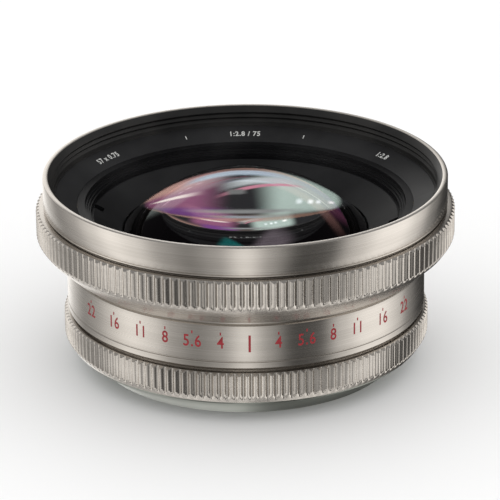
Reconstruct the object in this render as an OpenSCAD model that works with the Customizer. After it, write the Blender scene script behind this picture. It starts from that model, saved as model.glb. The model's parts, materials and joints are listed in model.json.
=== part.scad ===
// Manual-focus prime lens: fixed barrel, helicoid focusing, eight-blade iris.
// Millimetres, +Z towards the subject. The origin is the centre of the rear face.
// Radii add up from the glass and the iris outwards, heights from the rear face forwards.

/* [Optics] */
// Radius of the front element's ground edge
front_glass_r = 18.6; // [17:0.1:23]
// Radius of curvature of the front element's domed face
front_dome_r = 24; // [22:0.5:34]
// Radius of curvature of the front element's hollow rear face
front_hollow_r = 45; // [36:1:70]
// Edge thickness of the front element
front_edge_t = 2; // [1.6:0.1:3]
// Radius of the second and third elements
inner_glass_r = 15.1; // [13:0.1:15.8]
// Radius of curvature of the second element's front face
second_dome_r = 26; // [22:1:40]
// Edge thickness of the second element
second_edge_t = 0.6; // [0.5:0.1:1]
// Edge thickness of the third element
third_edge_t = 1.7; // [1.4:0.1:2.2]
// Radius of curvature of the hollow faces beside the iris
iris_side_hollow_r = 80; // [60:5:120]
// Radius of the hollows beside the iris, where they meet the flat rim
iris_side_hollow_edge_r = 11; // [9:0.1:11.5]
// Radius of the fourth, fifth and sixth elements
rear_glass_r = 12.6; // [11.6:0.1:13.2]
// Edge thickness of the fourth element
fourth_edge_t = 1.6; // [1.4:0.1:1.6]
// Edge thickness of the fifth element
fifth_edge_t = 0.7; // [0.5:0.1:1]
// Edge thickness of the sixth element
sixth_edge_t = 0.4; // [0.3:0.1:0.5]
// Radius of curvature of the fifth element's rear face
fifth_dome_r = 60; // [55:5:90]
// Radius of curvature of the sixth element's front face
sixth_front_r = 90; // [80:5:120]

/* [Iris] */
// Radius of the opening with the iris wide open
iris_open_r = 10.6; // [9.5:0.1:13]
// Width of a blade
blade_w = 5; // [4.6:0.1:5.6]
// Thickness of a blade
blade_t = 0.12; // [0.08:0.01:0.12]
// Height from one blade to the next in the stack
blade_pitch = 0.16; // [0.15:0.01:0.2]
// Radius of a blade's pivot and drive pins
blade_pin_r = 0.4; // [0.3:0.05:0.45]
// Distance from a blade's pivot to its drive pin
blade_crank = 3.3; // [3:0.1:4]
// Turn of the aperture ring from wide open to smallest stop, degrees
aperture_turn = 40; // [36:1:42]
// Turn of the aperture ring from wide open to the stop it is drawn at, degrees
aperture_set = 16; // [0:8:40]
// Turn of a blade for each degree of the aperture ring
blade_ratio = 0.75; // [0.7:0.01:0.78]
// Number of click stops
stop_count = 6; // [4:1:8]

/* [Rings] */
// Width of the dark cone round the front glass
retainer_w = 4.1; // [3.5:0.1:5]
// Wall of the front cell round its retainer
cell_wall = 1.15; // [0.9:0.05:1.6]
// Wall of the helicoid sleeve
sleeve_wall = 1; // [0.8:0.05:1.4]
// Wall of the barrel's neck
neck_wall = 0.85; // [0.7:0.05:1.2]
// How far the lettered band stands out from the neck
band_step = 0.7; // [0.6:0.05:1]
// How far the focusing ring stands out from the band
focus_overhang = 4.4; // [4:0.1:6]
// How far the front ring is set in from the focusing ring
rim_setback = 1.08; // [0.8:0.02:1.4]
// Wall of the barrel's rear tube
tube_wall = 1.6; // [1.3:0.1:2]
// Wall of the aperture ring over its knurl
aperture_wall = 2.6; // [2:0.1:3]
// Depth of the knurls' grooves
knurl_depth = 0.4; // [0.3:0.05:0.5]
// Number of grooves round the focusing ring
focus_grooves = 148; // [120:4:160]
// Number of grooves round the aperture ring
aperture_grooves = 144; // [120:4:160]

/* [Heights] */
// Height of the mount ring
base_h = 3.3; // [3.1:0.1:4]
// Height of the space that the aperture ring turns in
aperture_h = 5.15; // [5:0.05:6.5]
// Thickness of the barrel's floor
floor_t = 0.85; // [0.7:0.05:1.2]
// Height of the lettered band, from the floor's underside
band_h = 7.05; // [6.6:0.05:9]
// Height of the step above the band
step_h = 0.85; // [0.6:0.05:1.2]
// Thickness of the focusing ring's inner flange
focus_flange_t = 1.28; // [1:0.02:1.6]
// Thickness of the focusing ring's retaining ring
keeper_t = 0.84; // [0.7:0.02:1.2]
// Height of the female helicoid
helicoid_h = 4.25; // [4:0.05:5.5]
// Height of the smooth front ring, above its bead
rim_h = 4.25; // [4:0.05:6]
// Travel of the front unit
focus_travel = 6; // [4:0.1:6.5]

/* [Mounts] */
// Bore of the female rear thread (M42 x 1)
rear_bore_r = 20.45; // [19.5:0.05:20.5]
// Depth of the female rear thread
rear_bore_h = 2.9; // [2.6:0.05:2.9]
// Radius of the rest face at the rear
base_r = 22.3; // [22.2:0.1:23]

/* [Fits] */
// Radial clearance of a running fit
running_gap = 0.05; // [0.03:0.01:0.08]
// Radial clearance of a screwed or cemented fit
seat_gap = 0.03; // [0.02:0.01:0.05]
// Axial clearance between turning faces
face_gap = 0.08; // [0.05:0.01:0.12]
// Clearance of parts that pass without touching
free_gap = 0.2; // [0.15:0.01:0.3]

/* [Hidden] */
$fn = 180;
lens_fn = 360;
eps = 0.01;
stop_step = aperture_turn / (stop_count - 1);
cut_over = 1;

// Small screws: shaft and heads, screwdriver slits and tapped holes
small_screw_r = 0.35;
small_room_r = small_screw_r + seat_gap;
cell_head_r = 0.7;
round_head_r = 0.6;
key_head_r = 0.5;
slit_w = 0.2;
slit_d = 0.2;
spanner_w = 1.2;
blade_set = aperture_set * blade_ratio;

// Iris, outwards
blade_count = 8;
pivot_gap = 1.4;
pivot_r = iris_open_r + blade_w + pivot_gap;
crank_angle = -105;
blade_tail = -8;
blade_sweep = 118;
blade_shoulder = 0.05;
housing_room = 3.3;
housing_wall = 0.5;
pocket_r = front_glass_r + seat_gap;
// Wide enough for the blades, and for the cell's neck to pass outside the front glass
housing_in_r = max(pivot_r + housing_room, pocket_r + cell_wall - housing_wall);
housing_r = housing_in_r + housing_wall;
finger_gap = 0.8;
finger_t = 0.9;
finger_w = 2.4;
finger_in_r = housing_r + finger_gap;
finger_r = finger_in_r + finger_t;
tube_in_r = finger_r + 2 * free_gap;
tube_r = tube_in_r + tube_wall;

// Front unit and barrel, outwards
retainer_r = front_glass_r + retainer_w;
cell_r = retainer_r + seat_gap + cell_wall;
key_ledge = 1.1;
sleeve_in_r = max(cell_r + seat_gap, tube_in_r + key_ledge);
cell_flange_r = sleeve_in_r - seat_gap;
sleeve_r = sleeve_in_r + sleeve_wall;
bore_r = sleeve_r + running_gap;
neck_r = bore_r + neck_wall;
shoulder_w = 0.3;
shoulder_r = neck_r + shoulder_w;
band_over_tube = 1.5;
band_r = max(neck_r + band_step, tube_r + band_over_tube);
focus_r = band_r + focus_overhang;
rim_r = focus_r - rim_setback;
aperture_in_r = tube_r + running_gap;
aperture_r = aperture_in_r + aperture_wall;

// Heights, upwards
floor_z = base_h + aperture_h;
floor_top = floor_z + floor_t;
band_top = floor_z + band_h;
shoulder_z = band_top + step_h;
flange_z = shoulder_z + face_gap;
flange_top = flange_z + focus_flange_t;
keeper_z = flange_top + face_gap;
neck_top = keeper_z + keeper_t;
helicoid_lift = 0.35;
helicoid_z = neck_top + helicoid_lift;
helicoid_top = helicoid_z + helicoid_h;
focus_lip = 0.7;
focus_top = helicoid_top + focus_lip;
spigot_z = helicoid_top + free_gap;
sleeve_flange_t = 0.6;
sleeve_top = spigot_z + sleeve_flange_t;
rim_gap = 0.18;
rim_z = focus_top + rim_gap;
bead_h = 0.42;
rim_top = rim_z + bead_h + rim_h;

// Front ring's bore and the name ring's seat
rim_wall = 1.57;
thread_lift = 1.65;
name_step = 0.3;
name_ledge = 0.9;
name_t = 0.25;
seat_lift = 0.05;
seat_rise = 1.1;
filter_r = rim_r - rim_wall;
filter_z = rim_z + thread_lift;
name_r = filter_r - name_step;
name_in_r = sleeve_in_r + name_ledge;
seat_low = sleeve_top + seat_lift;
seat_high = rim_z + seat_rise;

// Front cell, downwards from the sleeve's top
baffle_h = 1.65;
baffle_gap = 0.17;
cell_top = sleeve_top - baffle_h;
retainer_t = 2.6;
pocket_top = cell_top - retainer_t;
glass_sink = 0.1;
dome_edge = 0.2;
glass_top = pocket_top - glass_sink;
glass_z = glass_top - front_edge_t;
spacer_drop = 0.3;
spacer_top = glass_z - spacer_drop;
hollow_rim_w = 2.4;
front_hollow_edge_r = front_glass_r - hollow_rim_w;
spacer_wall = 1.2;
spacer_r = inner_glass_r + spacer_wall;
spacer_h = 2.4;
spacer_lap = 0.7;
second_top = spacer_top - spacer_h;
second_z = second_top - second_edge_t;
third_z = second_z - third_edge_t;
cell_lip_t = 0.4;
cell_lip_w = 1.5;
fit_gap = 0.02;
cell_z = third_z - cell_lip_t;
spigot_h = 0.6;

// Iris and rear cell, downwards from the front cell
cover_t = 0.3;
cam_t = 0.7;
plate_t = 0.7;
cover_z = cell_z - cover_t - face_gap;
cam_gap = 0.05;
stack_gap = 0.09;
cam_z = cover_z - cam_t - cam_gap;
blades_z = cam_z - stack_gap - blade_count * blade_pitch;
plate_z = blades_z - face_gap - plate_t;
rear_flange_t = 0.75;
rear_cell_top = plate_z - seat_gap;
rear_lip_t = 0.35;
fourth_top = rear_cell_top - rear_lip_t;
fourth_z = fourth_top - fourth_edge_t;
fifth_z = fourth_z - fifth_edge_t;
rear_spacer_h = 2.4;
sixth_top = fifth_z - rear_spacer_h;
sixth_z = sixth_top - sixth_edge_t;
rear_ring_t = 0.5;
rear_cell_wall = 2;
rear_cell_r = rear_glass_r + rear_cell_wall;
rear_flange_w = 3.9;
rear_flange_r = rear_cell_r + rear_flange_w;
rear_lip_w = 0.9;
cell_screw_count = 3;
cell_screw_azimuth = 22.5;
cell_screw_inset = 2.6;
cell_screw_pcr = rear_flange_r - cell_screw_inset;
rear_cell_z = sixth_z - rear_ring_t;

// Mount ring and baffle
mount_setback = 1.1;
mount_edge_r = aperture_r - mount_setback;
mount_edge_z = 0.67;
mount_edge_step = 0.5;
screw_r = 0.45;
screw_head_r = 0.75;
screw_head_h = 0.5;
mount_screw_count = 4;
mount_screw_azimuth = 45;
mount_screw_bite = 1;
mount_bevel = 0.25;
base_bevel = 0.1;
mount_screw_pcr = (rear_bore_r + base_r) / 2;
baffle_t = 0.3;
baffle_ledge = 0.35;
baffle_bearing = 0.1;
rear_baffle_r = rear_bore_r + baffle_ledge;
rear_baffle_in_r = rear_cell_r + 4 * free_gap;

// Focusing ring
keeper_w = 1.7;
helicoid_step = 1;
recess_w = 0.52;
spigot_gap = 0.15;
keeper_r = neck_r + keeper_w;
helicoid_r = keeper_r + helicoid_step;
recess_r = rim_r - recess_w;
spigot_r = recess_r - spigot_gap;
lock_pin_r = 0.6;
lock_pin_h = 2;
lock_pin_count = 3;
lock_pin_azimuth = 30;
stop_pin_r = 0.5;
stop_pin_h = 1.2;
stop_pin_pcr = (neck_r + keeper_r) / 2;
stop_azimuth = 60;
focus_turn = 150;

// Screws of the front ring into the sleeve's flange
sleeve_flange_w = 2.2;
sleeve_lift = 0.3;
ring_screw_count = 4;
ring_screw_azimuth = 45;
ring_screw_r = 0.3;
ring_head_r = 0.55;
ring_head_h = 0.3;
ring_head_sink = 0.5;
ring_screw_pcr = sleeve_r + 1.55;
ring_seat_r = sleeve_r + 1.2;

// Drive arm, key and click
arm_azimuth = 205;
arm_w = 3;
arm_h = 1.6;
arm_drop = 3.25;
arm_z = floor_z - arm_drop;
arm_foot_t = 1.4;
arm_screw_in = 0.75;
arm_screw_side = 1.7;
arm_screw_pcr = aperture_in_r + arm_screw_in;
arm_foot_r = aperture_in_r + arm_foot_t;
slot_slack = 0.4;
slot_room = 0.1;
arm_foot_w = 5;
finger_reach = 0.3;
flange_over_glass = 0.7;
finger_top = cam_z + cam_t + focus_travel + finger_reach;
cell_flange_z = max(glass_z + flange_over_glass, finger_top + free_gap);
lug_w = 6;
key_w = 3;
key_above_neck = 0.9;
key_top = neck_top + key_above_neck;
key_pcr = (tube_in_r + sleeve_in_r) / 2;
key_bite = 0.5;
key_foot_h = 1;
key_azimuth = 90;
click_azimuth = 20;
ball_stand = 0.03;
click_ball_r = tube_wall / 2 + ball_stand;
click_drop = 2.45;
click_z = floor_z - click_drop;
spring_t = 0.2;
spring_h = 1.6;
spring_gap = 0.04;
spring_angle = 34;
spring_end = 5;
spring_screw_azimuth = click_azimuth + spring_angle - spring_end;

// Knurl teeth as shares of one pitch
crest_share = 0.22;
bottom_share = 0.36;

STEEL = [0.62, 0.6, 0.57];
NICKEL = [0.72, 0.69, 0.65];
BLACK = [0.11, 0.11, 0.11];
BRASS = [0.75, 0.6, 0.3];
GLASS = [0.55, 0.45, 0.6, 0.5];
BLADE = [0.2, 0.2, 0.22];

// A point at radius r and angle a
function polar(r, a) = [r * cos(a), r * sin(a)];
// Height of the name ring's seat at radius r
function seat_z(r) = seat_low + (r - name_in_r) * (seat_high - seat_low) / (name_r - name_in_r);
// Depth of a ball of radius r below its top, at radius e from the axis
function sag(r, e) = r - sqrt(r * r - e * e);
// How far a dome of radius r rises from radius e inwards by a step
function rise(r, e, step) = sag(r, e) - sag(r, e - step);
// A blade's drive pin in the housing, for the aperture ring at angle a from wide open
function drive_pin(a) =
    [pivot_r, 0] + polar(blade_crank, crank_angle + a * blade_ratio);
// The same point as the cam ring sees it, with the cam ring drawn at aperture_set
function cam_point(a) =
    let (p = drive_pin(a), t = aperture_set - a)
    [p[0] * cos(t) - p[1] * sin(t), p[0] * sin(t) + p[1] * cos(t)];

// Straight tube about Z
module tube(r_in, r_out, z_low, z_high) {
    translate([0, 0, z_low])
    difference() {
        cylinder(r = r_out, h = z_high - z_low);
        translate([0, 0, -eps]) cylinder(r = r_in, h = z_high - z_low + 2 * eps);
    }
}

// Outline of a knurled ring: flat crests and flat-bottomed grooves
module knurl_outline(r, depth, count) {
    pitch = 360 / count;
    crest = crest_share * pitch / 2;
    bottom = (1 - bottom_share) * pitch / 2;
    polygon([for (i = [0 : count - 1]) each [
        polar(r - depth, i * pitch - bottom),
        polar(r, i * pitch - crest),
        polar(r, i * pitch + crest),
        polar(r - depth, i * pitch + bottom)]]);
}

// Wedge of the plane from angle a to angle b, out to radius r
module wedge(r, a, b) {
    polygon([[0, 0], polar(r, a), polar(r, a + (b - a) / 3), polar(r, b - (b - a) / 3), polar(r, b)]);
}

// Ring cut by a wedge, between two heights
module sector(r_in, r_out, a, b, z_low, z_high) {
    translate([0, 0, z_low])
    linear_extrude(z_high - z_low)
    intersection() {
        difference() {
            circle(r_out);
            circle(r_in);
        }
        wedge(2 * r_out, a, b);
    }
}

// Radial bar along the direction of azimuth a
module radial_bar(r_low, r_high, width, z_low, z_high, a) {
    rotate([0, 0, a])
    translate([r_low, -width / 2, z_low])
    cube([r_high - r_low, width, z_high - z_low]);
}

// Countersunk screw, tip up, its head's face at z = 0
module screw(shaft_r, head_r, head_h, length) {
    difference() {
        union() {
            cylinder(r = shaft_r, h = length);
            cylinder(r1 = head_r, r2 = shaft_r, h = head_h);
        }
        slit(head_r, -eps, slit_d);
    }
}

// Screwdriver slit across an axis, cut upwards from height z
module slit(r, z, depth) {
    translate([-r, -slit_w / 2, z]) cube([2 * r, slit_w, depth]);
}

// Room for a countersunk screw
module screw_room(shaft_r, head_r, head_h, length) {
    translate([0, 0, -eps]) {
        cylinder(r = shaft_r + seat_gap, h = length + 2 * eps);
        cylinder(r1 = head_r + seat_gap, r2 = shaft_r + seat_gap, h = head_h + eps);
    }
}

// Copies of a child round the axis at radius r
module round_axis(count, r, start) {
    for (i = [0 : count - 1])
        rotate([0, 0, start + i * 360 / count]) translate([r, 0, 0]) children();
}

// Two spanner slots across a ring's rim
module spanner_slots(r, width, z_low, depth) {
    translate([-r, -width / 2, z_low]) cube([2 * r, width, depth]);
}

// ---- Fixed barrel ----

module mount_ring() {
    seat_r = rear_baffle_r + seat_gap;
    color(NICKEL)
    difference() {
        rotate_extrude()
        polygon([[rear_bore_r, mount_bevel], [rear_bore_r + mount_bevel, 0], [base_r - base_bevel, 0],
            [base_r, base_bevel], [base_r + mount_edge_step, mount_edge_z],
            [mount_edge_r, base_h - mount_bevel], [mount_edge_r, base_h], [seat_r, base_h],
            [seat_r, rear_bore_h], [rear_bore_r, rear_bore_h]]);
        round_axis(mount_screw_count, mount_screw_pcr, mount_screw_azimuth)
            screw_room(screw_r, screw_head_r, screw_head_h, base_h);
    }
}

module mount_screws() {
    color(STEEL)
    round_axis(mount_screw_count, mount_screw_pcr, mount_screw_azimuth)
        translate([0, 0, fit_gap])
        screw(screw_r, screw_head_r, screw_head_h, base_h + mount_screw_bite);
}

module barrel() {
    chamfer_w = 0.35;
    chamfer_h = 0.45;
    groove_z = floor_z + 1.35;
    groove_d = 0.12;
    groove_w = 0.1;
    foot_in_r = rear_baffle_r - baffle_bearing;
    foot_top = arm_z - chamfer_w;
    slot_half = asin(arm_w / 2 / tube_in_r) + slot_slack;
    slot_start = arm_azimuth - aperture_set;
    color(NICKEL)
    difference() {
        rotate_extrude()
        polygon([[foot_in_r, base_h], [tube_r, base_h], [tube_r, floor_z], [band_r - chamfer_w, floor_z],
            [band_r, floor_z + chamfer_h], [band_r, groove_z - groove_w], [band_r - groove_d, groove_z],
            [band_r - groove_d, groove_z + groove_w], [band_r, groove_z + 2 * groove_w],
            [band_r, band_top - groove_d], [band_r - groove_d, band_top], [shoulder_r, band_top],
            [shoulder_r, shoulder_z], [neck_r, shoulder_z], [neck_r, neck_top], [bore_r, neck_top],
            [bore_r, floor_top], [tube_in_r, floor_top], [tube_in_r, foot_top], [foot_in_r, foot_top]]);
        round_axis(mount_screw_count, mount_screw_pcr, mount_screw_azimuth)
            translate([0, 0, base_h - eps])
            cylinder(r = screw_r + seat_gap, h = mount_screw_bite + slot_room);
        // Slot that the drive arm sweeps, and whose ends stop it
        sector(tube_in_r - cut_over, tube_r + free_gap, slot_start - slot_half,
            slot_start + aperture_turn + slot_half, arm_z - slot_room, arm_z + arm_h + slot_room);
        // Hole of the click ball
        rotate([0, 0, click_azimuth])
            translate([tube_in_r - cut_over, 0, click_z])
            rotate([0, 90, 0]) cylinder(r = click_ball_r + running_gap, h = tube_wall + 1.5 * cut_over);
        // Tapped hole of the click spring's screw
        rotate([0, 0, spring_screw_azimuth])
            translate([tube_in_r - cut_over, 0, click_z])
            rotate([0, 90, 0]) cylinder(r = small_room_r, h = 2 * cut_over);
        // Tapped holes of the guide keys
        round_axis(2, key_pcr, key_azimuth)
            translate([0, 0, floor_z + free_gap]) cylinder(r = small_room_r, h = 2 * cut_over);
    }
}

module rear_baffle() {
    color(BLACK)
    tube(rear_baffle_in_r, rear_baffle_r, rear_bore_h + eps, rear_bore_h + baffle_t);
}

module guide_keys() {
    color(BRASS)
    for (azimuth = [key_azimuth, key_azimuth + 180])
    difference() {
        union() {
            intersection() {
                radial_bar(sleeve_in_r + free_gap / 4, bore_r, key_w, floor_top, key_top, azimuth);
                cylinder(r = bore_r - fit_gap, h = rim_top);
            }
            radial_bar(tube_in_r, sleeve_in_r + key_bite, key_w, floor_top, floor_top + key_foot_h,
                azimuth);
        }
        rotate([0, 0, azimuth])
            translate([key_pcr, 0, floor_top - cut_over])
            cylinder(r = small_room_r, h = key_foot_h + 2 * cut_over);
    }
}

module guide_key_screws() {
    color(STEEL)
    round_axis(2, key_pcr, key_azimuth) {
        translate([0, 0, floor_top - key_bite]) cylinder(r = small_screw_r, h = key_foot_h + key_bite);
        translate([0, 0, floor_top + key_foot_h])
        difference() {
            cylinder(r = key_head_r, h = small_screw_r);
            slit(key_head_r, slit_d, slit_d);
        }
    }
}

module focus_keeper_ring() {
    slot_d = 0.4;
    color(STEEL)
    difference() {
        tube(neck_r + seat_gap, keeper_r, keeper_z, neck_top);
        spanner_slots(keeper_r + cut_over, spanner_w, neck_top - slot_d, cut_over);
        rotate([0, 0, stop_azimuth])
            translate([stop_pin_pcr, 0, keeper_z - cut_over])
            cylinder(r = stop_pin_r + seat_gap, h = keeper_t + 2 * cut_over);
    }
}

module focus_stop_pin() {
    color(STEEL)
    rotate([0, 0, stop_azimuth])
        translate([stop_pin_pcr, 0, keeper_z]) cylinder(r = stop_pin_r, h = keeper_t + stop_pin_h);
}

module click_ball() {
    color(STEEL)
    rotate([0, 0, click_azimuth])
        translate([tube_r + ball_stand - click_ball_r, 0, click_z]) sphere(click_ball_r);
}

module click_spring() {
    outer_r = tube_in_r - spring_gap;
    low = click_z - spring_h / 2;
    color(BRASS)
    difference() {
        sector(outer_r - spring_t, outer_r, click_azimuth - spring_angle / 4,
            click_azimuth + spring_angle, low, low + spring_h);
        rotate([0, 0, spring_screw_azimuth])
            translate([tube_in_r - cut_over, 0, click_z])
            rotate([0, 90, 0]) cylinder(r = small_room_r, h = 2 * cut_over);
    }
}

module click_spring_screw() {
    head_h = 0.3;
    grip = 0.7;
    color(STEEL)
    rotate([0, 0, spring_screw_azimuth])
    translate([tube_in_r - spring_gap - spring_t, 0, click_z])
    rotate([0, 90, 0]) {
        cylinder(r = small_screw_r, h = tube_wall * grip);
        translate([0, 0, -head_h - fit_gap]) {
            cylinder(r = round_head_r, h = head_h);
            cylinder(r = small_screw_r, h = head_h + slot_room);
        }
    }
}

// ---- Focusing ring ----

module focus_ring() {
    bore_in_r = neck_r + running_gap + fit_gap;
    cone_step = 0.7;
    cone_drop = 0.2;
    cone_h = 2.5;
    cone_setback = 0.75;
    chamfer_top = 3.6;
    edge_w = 0.45;
    edge_h = 0.3;
    color(NICKEL)
    difference() {
        intersection() {
            rotate_extrude()
            polygon([[bore_in_r, flange_z], [band_r + cone_step, flange_z - cone_drop],
                [focus_r - cone_setback, flange_z + cone_h], [focus_r, flange_z + chamfer_top],
                [focus_r, focus_top - edge_h], [focus_r - edge_w, focus_top], [recess_r, focus_top],
                [recess_r, helicoid_top], [helicoid_r + seat_gap, helicoid_top],
                [helicoid_r + seat_gap, helicoid_z], [keeper_r + free_gap, helicoid_z],
                [keeper_r + free_gap, flange_top], [bore_in_r, flange_top]]);
            linear_extrude(rim_top) knurl_outline(focus_r, knurl_depth, focus_grooves);
        }
        lock_pin_holes();
    }
}

// Holes half in the focusing ring and half in the helicoid, for the pins that lock them
module lock_pin_holes() {
    round_axis(lock_pin_count, helicoid_r, lock_pin_azimuth)
        translate([0, 0, helicoid_top - lock_pin_h])
        cylinder(r = lock_pin_r + seat_gap, h = lock_pin_h + cut_over);
}

module helicoid_ring() {
    half = asin(stop_pin_r / stop_pin_pcr) + slot_slack;
    groove_in_r = stop_pin_pcr - stop_pin_r - slot_room;
    groove_out_r = stop_pin_pcr + stop_pin_r + slot_room;
    slot_d = 0.5;
    color(BRASS)
    difference() {
        tube(sleeve_r + 2 * running_gap, helicoid_r, helicoid_z + eps, helicoid_top);
        lock_pin_holes();
        // Groove of the stop pin
        sector(groove_in_r, groove_out_r, stop_azimuth - focus_turn - half, stop_azimuth + half,
            helicoid_z - cut_over, neck_top + stop_pin_h + spigot_gap);
        // Slots for a pin spanner
        spanner_slots(helicoid_r - spanner_w, spanner_w, helicoid_top - slot_d, cut_over);
    }
}

module helicoid_lock_pins() {
    slot_d = 0.3;
    color(STEEL)
    round_axis(lock_pin_count, helicoid_r, lock_pin_azimuth)
    translate([0, 0, helicoid_top - lock_pin_h + fit_gap])
    difference() {
        cylinder(r = lock_pin_r, h = lock_pin_h - slot_room);
        slit(lock_pin_r + eps, lock_pin_h - slot_room - slot_d, cut_over);
    }
}

// ---- Front unit ----

module helicoid_sleeve() {
    flange_r = sleeve_r + sleeve_flange_w;
    low = floor_top + sleeve_lift;
    color(BRASS)
    difference() {
        rotate_extrude()
        polygon([[sleeve_in_r, low], [sleeve_r, low], [sleeve_r, spigot_z], [flange_r, spigot_z],
            [flange_r, sleeve_top], [sleeve_in_r, sleeve_top]]);
        for (side = [0, 180])
            radial_bar(sleeve_in_r - cut_over, sleeve_r + seat_gap, key_w + 2 * running_gap,
                low - cut_over, key_top + free_gap, key_azimuth + side);
        round_axis(ring_screw_count, ring_screw_pcr, ring_screw_azimuth)
            translate([0, 0, spigot_z - cut_over]) cylinder(r = ring_screw_r + seat_gap, h = 2 * cut_over);
    }
}

module front_ring() {
    flange_in_r = sleeve_r + 0.9;
    flange_r = sleeve_r + sleeve_flange_w + running_gap;
    seat_out_r = name_r + running_gap;
    bead_r = rim_r - 0.16;
    groove_r = rim_r - 0.26;
    round_in = 0.15;
    bead_turn = 0.1;
    bead_round = 0.32;
    bead_slope = 0.04;
    mouth = 0.8;
    color(NICKEL)
    difference() {
        rotate_extrude()
        polygon([[spigot_r, spigot_z], [spigot_r, rim_z], [bead_r - round_in + eps, rim_z],
            [bead_r, rim_z + bead_turn], [bead_r, rim_z + bead_round],
            [groove_r, rim_z + bead_round + bead_slope], [groove_r, rim_z + bead_h],
            [rim_r, rim_z + bead_h + 2 * bead_slope], [rim_r, rim_top - round_in],
            [rim_r - round_in, rim_top], [filter_r + mouth, rim_top], [filter_r, rim_top - mouth],
            [filter_r, filter_z], [seat_out_r, filter_z], [seat_out_r, seat_z(seat_out_r)],
            [flange_in_r, seat_z(flange_in_r)], [flange_in_r, sleeve_top + eps],
            [flange_r, sleeve_top + eps], [flange_r, spigot_z]]);
        round_axis(ring_screw_count, ring_screw_pcr, ring_screw_azimuth)
            translate([0, 0, seat_z(ring_seat_r)])
            mirror([0, 0, 1])
            translate([0, 0, -ring_head_sink]) {
                cylinder(r = ring_screw_r + seat_gap, h = 3 * cut_over);
                cylinder(r = ring_head_r + seat_gap, h = ring_head_sink + eps);
                translate([0, 0, ring_head_sink])
                    cylinder(r1 = ring_head_r + seat_gap, r2 = ring_screw_r + seat_gap, h = ring_head_h);
            }
    }
}

module front_ring_screws() {
    head_z = seat_z(ring_seat_r);
    color(STEEL)
    round_axis(ring_screw_count, ring_screw_pcr, ring_screw_azimuth)
        translate([0, 0, head_z - seat_gap])
        mirror([0, 0, 1])
        screw(ring_screw_r, ring_head_r, ring_head_h, head_z - spigot_z - slot_room);
}

module name_ring() {
    color(BLACK)
    rotate_extrude()
    polygon([[name_in_r, seat_z(name_in_r) + fit_gap], [name_r, seat_z(name_r) + fit_gap],
        [name_r, filter_z], [name_in_r, seat_z(name_in_r) + name_t]]);
}

module baffle_ring() {
    top = sleeve_top - fit_gap;
    out_r = sleeve_in_r - seat_gap;
    flange_z = sleeve_top + eps;
    flange_in = 0.2;
    in_r = retainer_r + baffle_gap;
    step_count = 3;
    step_w = (out_r - flange_in - in_r) / step_count;
    step_d = 0.32;
    slope = 0.05;
    color(BLACK)
    rotate_extrude()
    polygon(concat(
        [[in_r, cell_top + fit_gap], [out_r, cell_top + fit_gap], [out_r, flange_z],
            [name_in_r - seat_gap, flange_z], [name_in_r - seat_gap, sleeve_top + name_t],
            [out_r - flange_in, sleeve_top + name_t]],
        [for (i = [1 : step_count]) each [
            [out_r - flange_in - (i - 1) * step_w - slope, top - i * step_d],
            [out_r - flange_in - i * step_w, top - i * step_d]]]));
}

module front_retainer() {
    lip_w = 0.3;
    lip_r = front_glass_r - lip_w;
    lip_z = glass_top + rise(front_dome_r, front_glass_r - dome_edge, lip_w - dome_edge) + face_gap;
    lip_t = 0.25;
    slot_w = 1.4;
    slot_turn = -8;
    color(BLACK)
    difference() {
        rotate_extrude()
        polygon([[lip_r, lip_z], [pocket_r, pocket_top + seat_gap], [retainer_r, pocket_top + seat_gap],
            [retainer_r, cell_top], [retainer_r - free_gap, cell_top], [lip_r, lip_z + lip_t]]);
        // Slots for a spanner, near the outer edge
        for (side = [0, 180]) rotate([0, 0, side + slot_turn])
            translate([retainer_r - slot_w, -slot_w / 2, cell_top - cut_over])
            cube([2 * cut_over, slot_w, 2 * cut_over]);
    }
}

module front_cell() {
    lip_r = inner_glass_r - cell_lip_w;
    spigot_out_r = housing_in_r - seat_gap;
    glass_seat = glass_z - fit_gap;
    color(BLACK)
    rotate_extrude()
    polygon([[lip_r, cell_z], [spigot_out_r, cell_z], [spigot_out_r, cell_z + spigot_h],
        [housing_r, cell_z + spigot_h + running_gap], [housing_r, cell_flange_z],
        [cell_flange_r, cell_flange_z], [cell_flange_r, cell_top], [retainer_r + seat_gap, cell_top],
        [retainer_r + seat_gap, pocket_top], [pocket_r, pocket_top], [pocket_r, glass_seat],
        [spacer_r + seat_gap, glass_seat], [spacer_r + seat_gap, second_top],
        [inner_glass_r + seat_gap, second_top], [inner_glass_r + seat_gap, third_z - fit_gap],
        [lip_r, third_z - fit_gap]]);
}

module front_element() {
    color(GLASS)
    difference() {
        intersection() {
            translate([0, 0, glass_z]) cylinder(r = front_glass_r, h = 2 * front_dome_r);
            translate([0, 0, glass_top + sag(front_dome_r, front_glass_r - dome_edge) - front_dome_r])
                sphere(front_dome_r, $fn = lens_fn);
        }
        translate([0, 0, glass_z + sag(front_hollow_r, front_hollow_edge_r) - front_hollow_r])
            sphere(front_hollow_r, $fn = lens_fn);
    }
}

module second_element() {
    color(GLASS)
    intersection() {
        translate([0, 0, second_z]) cylinder(r = inner_glass_r, h = second_dome_r);
        translate([0, 0, second_top + sag(second_dome_r, inner_glass_r) - second_dome_r])
            sphere(second_dome_r, $fn = lens_fn);
    }
}

module third_element() {
    color(GLASS)
    difference() {
        translate([0, 0, third_z]) cylinder(r = inner_glass_r, h = third_edge_t - eps);
        translate([0, 0, third_z + sag(iris_side_hollow_r, iris_side_hollow_edge_r) - iris_side_hollow_r])
            sphere(iris_side_hollow_r, $fn = lens_fn);
    }
}

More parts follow.
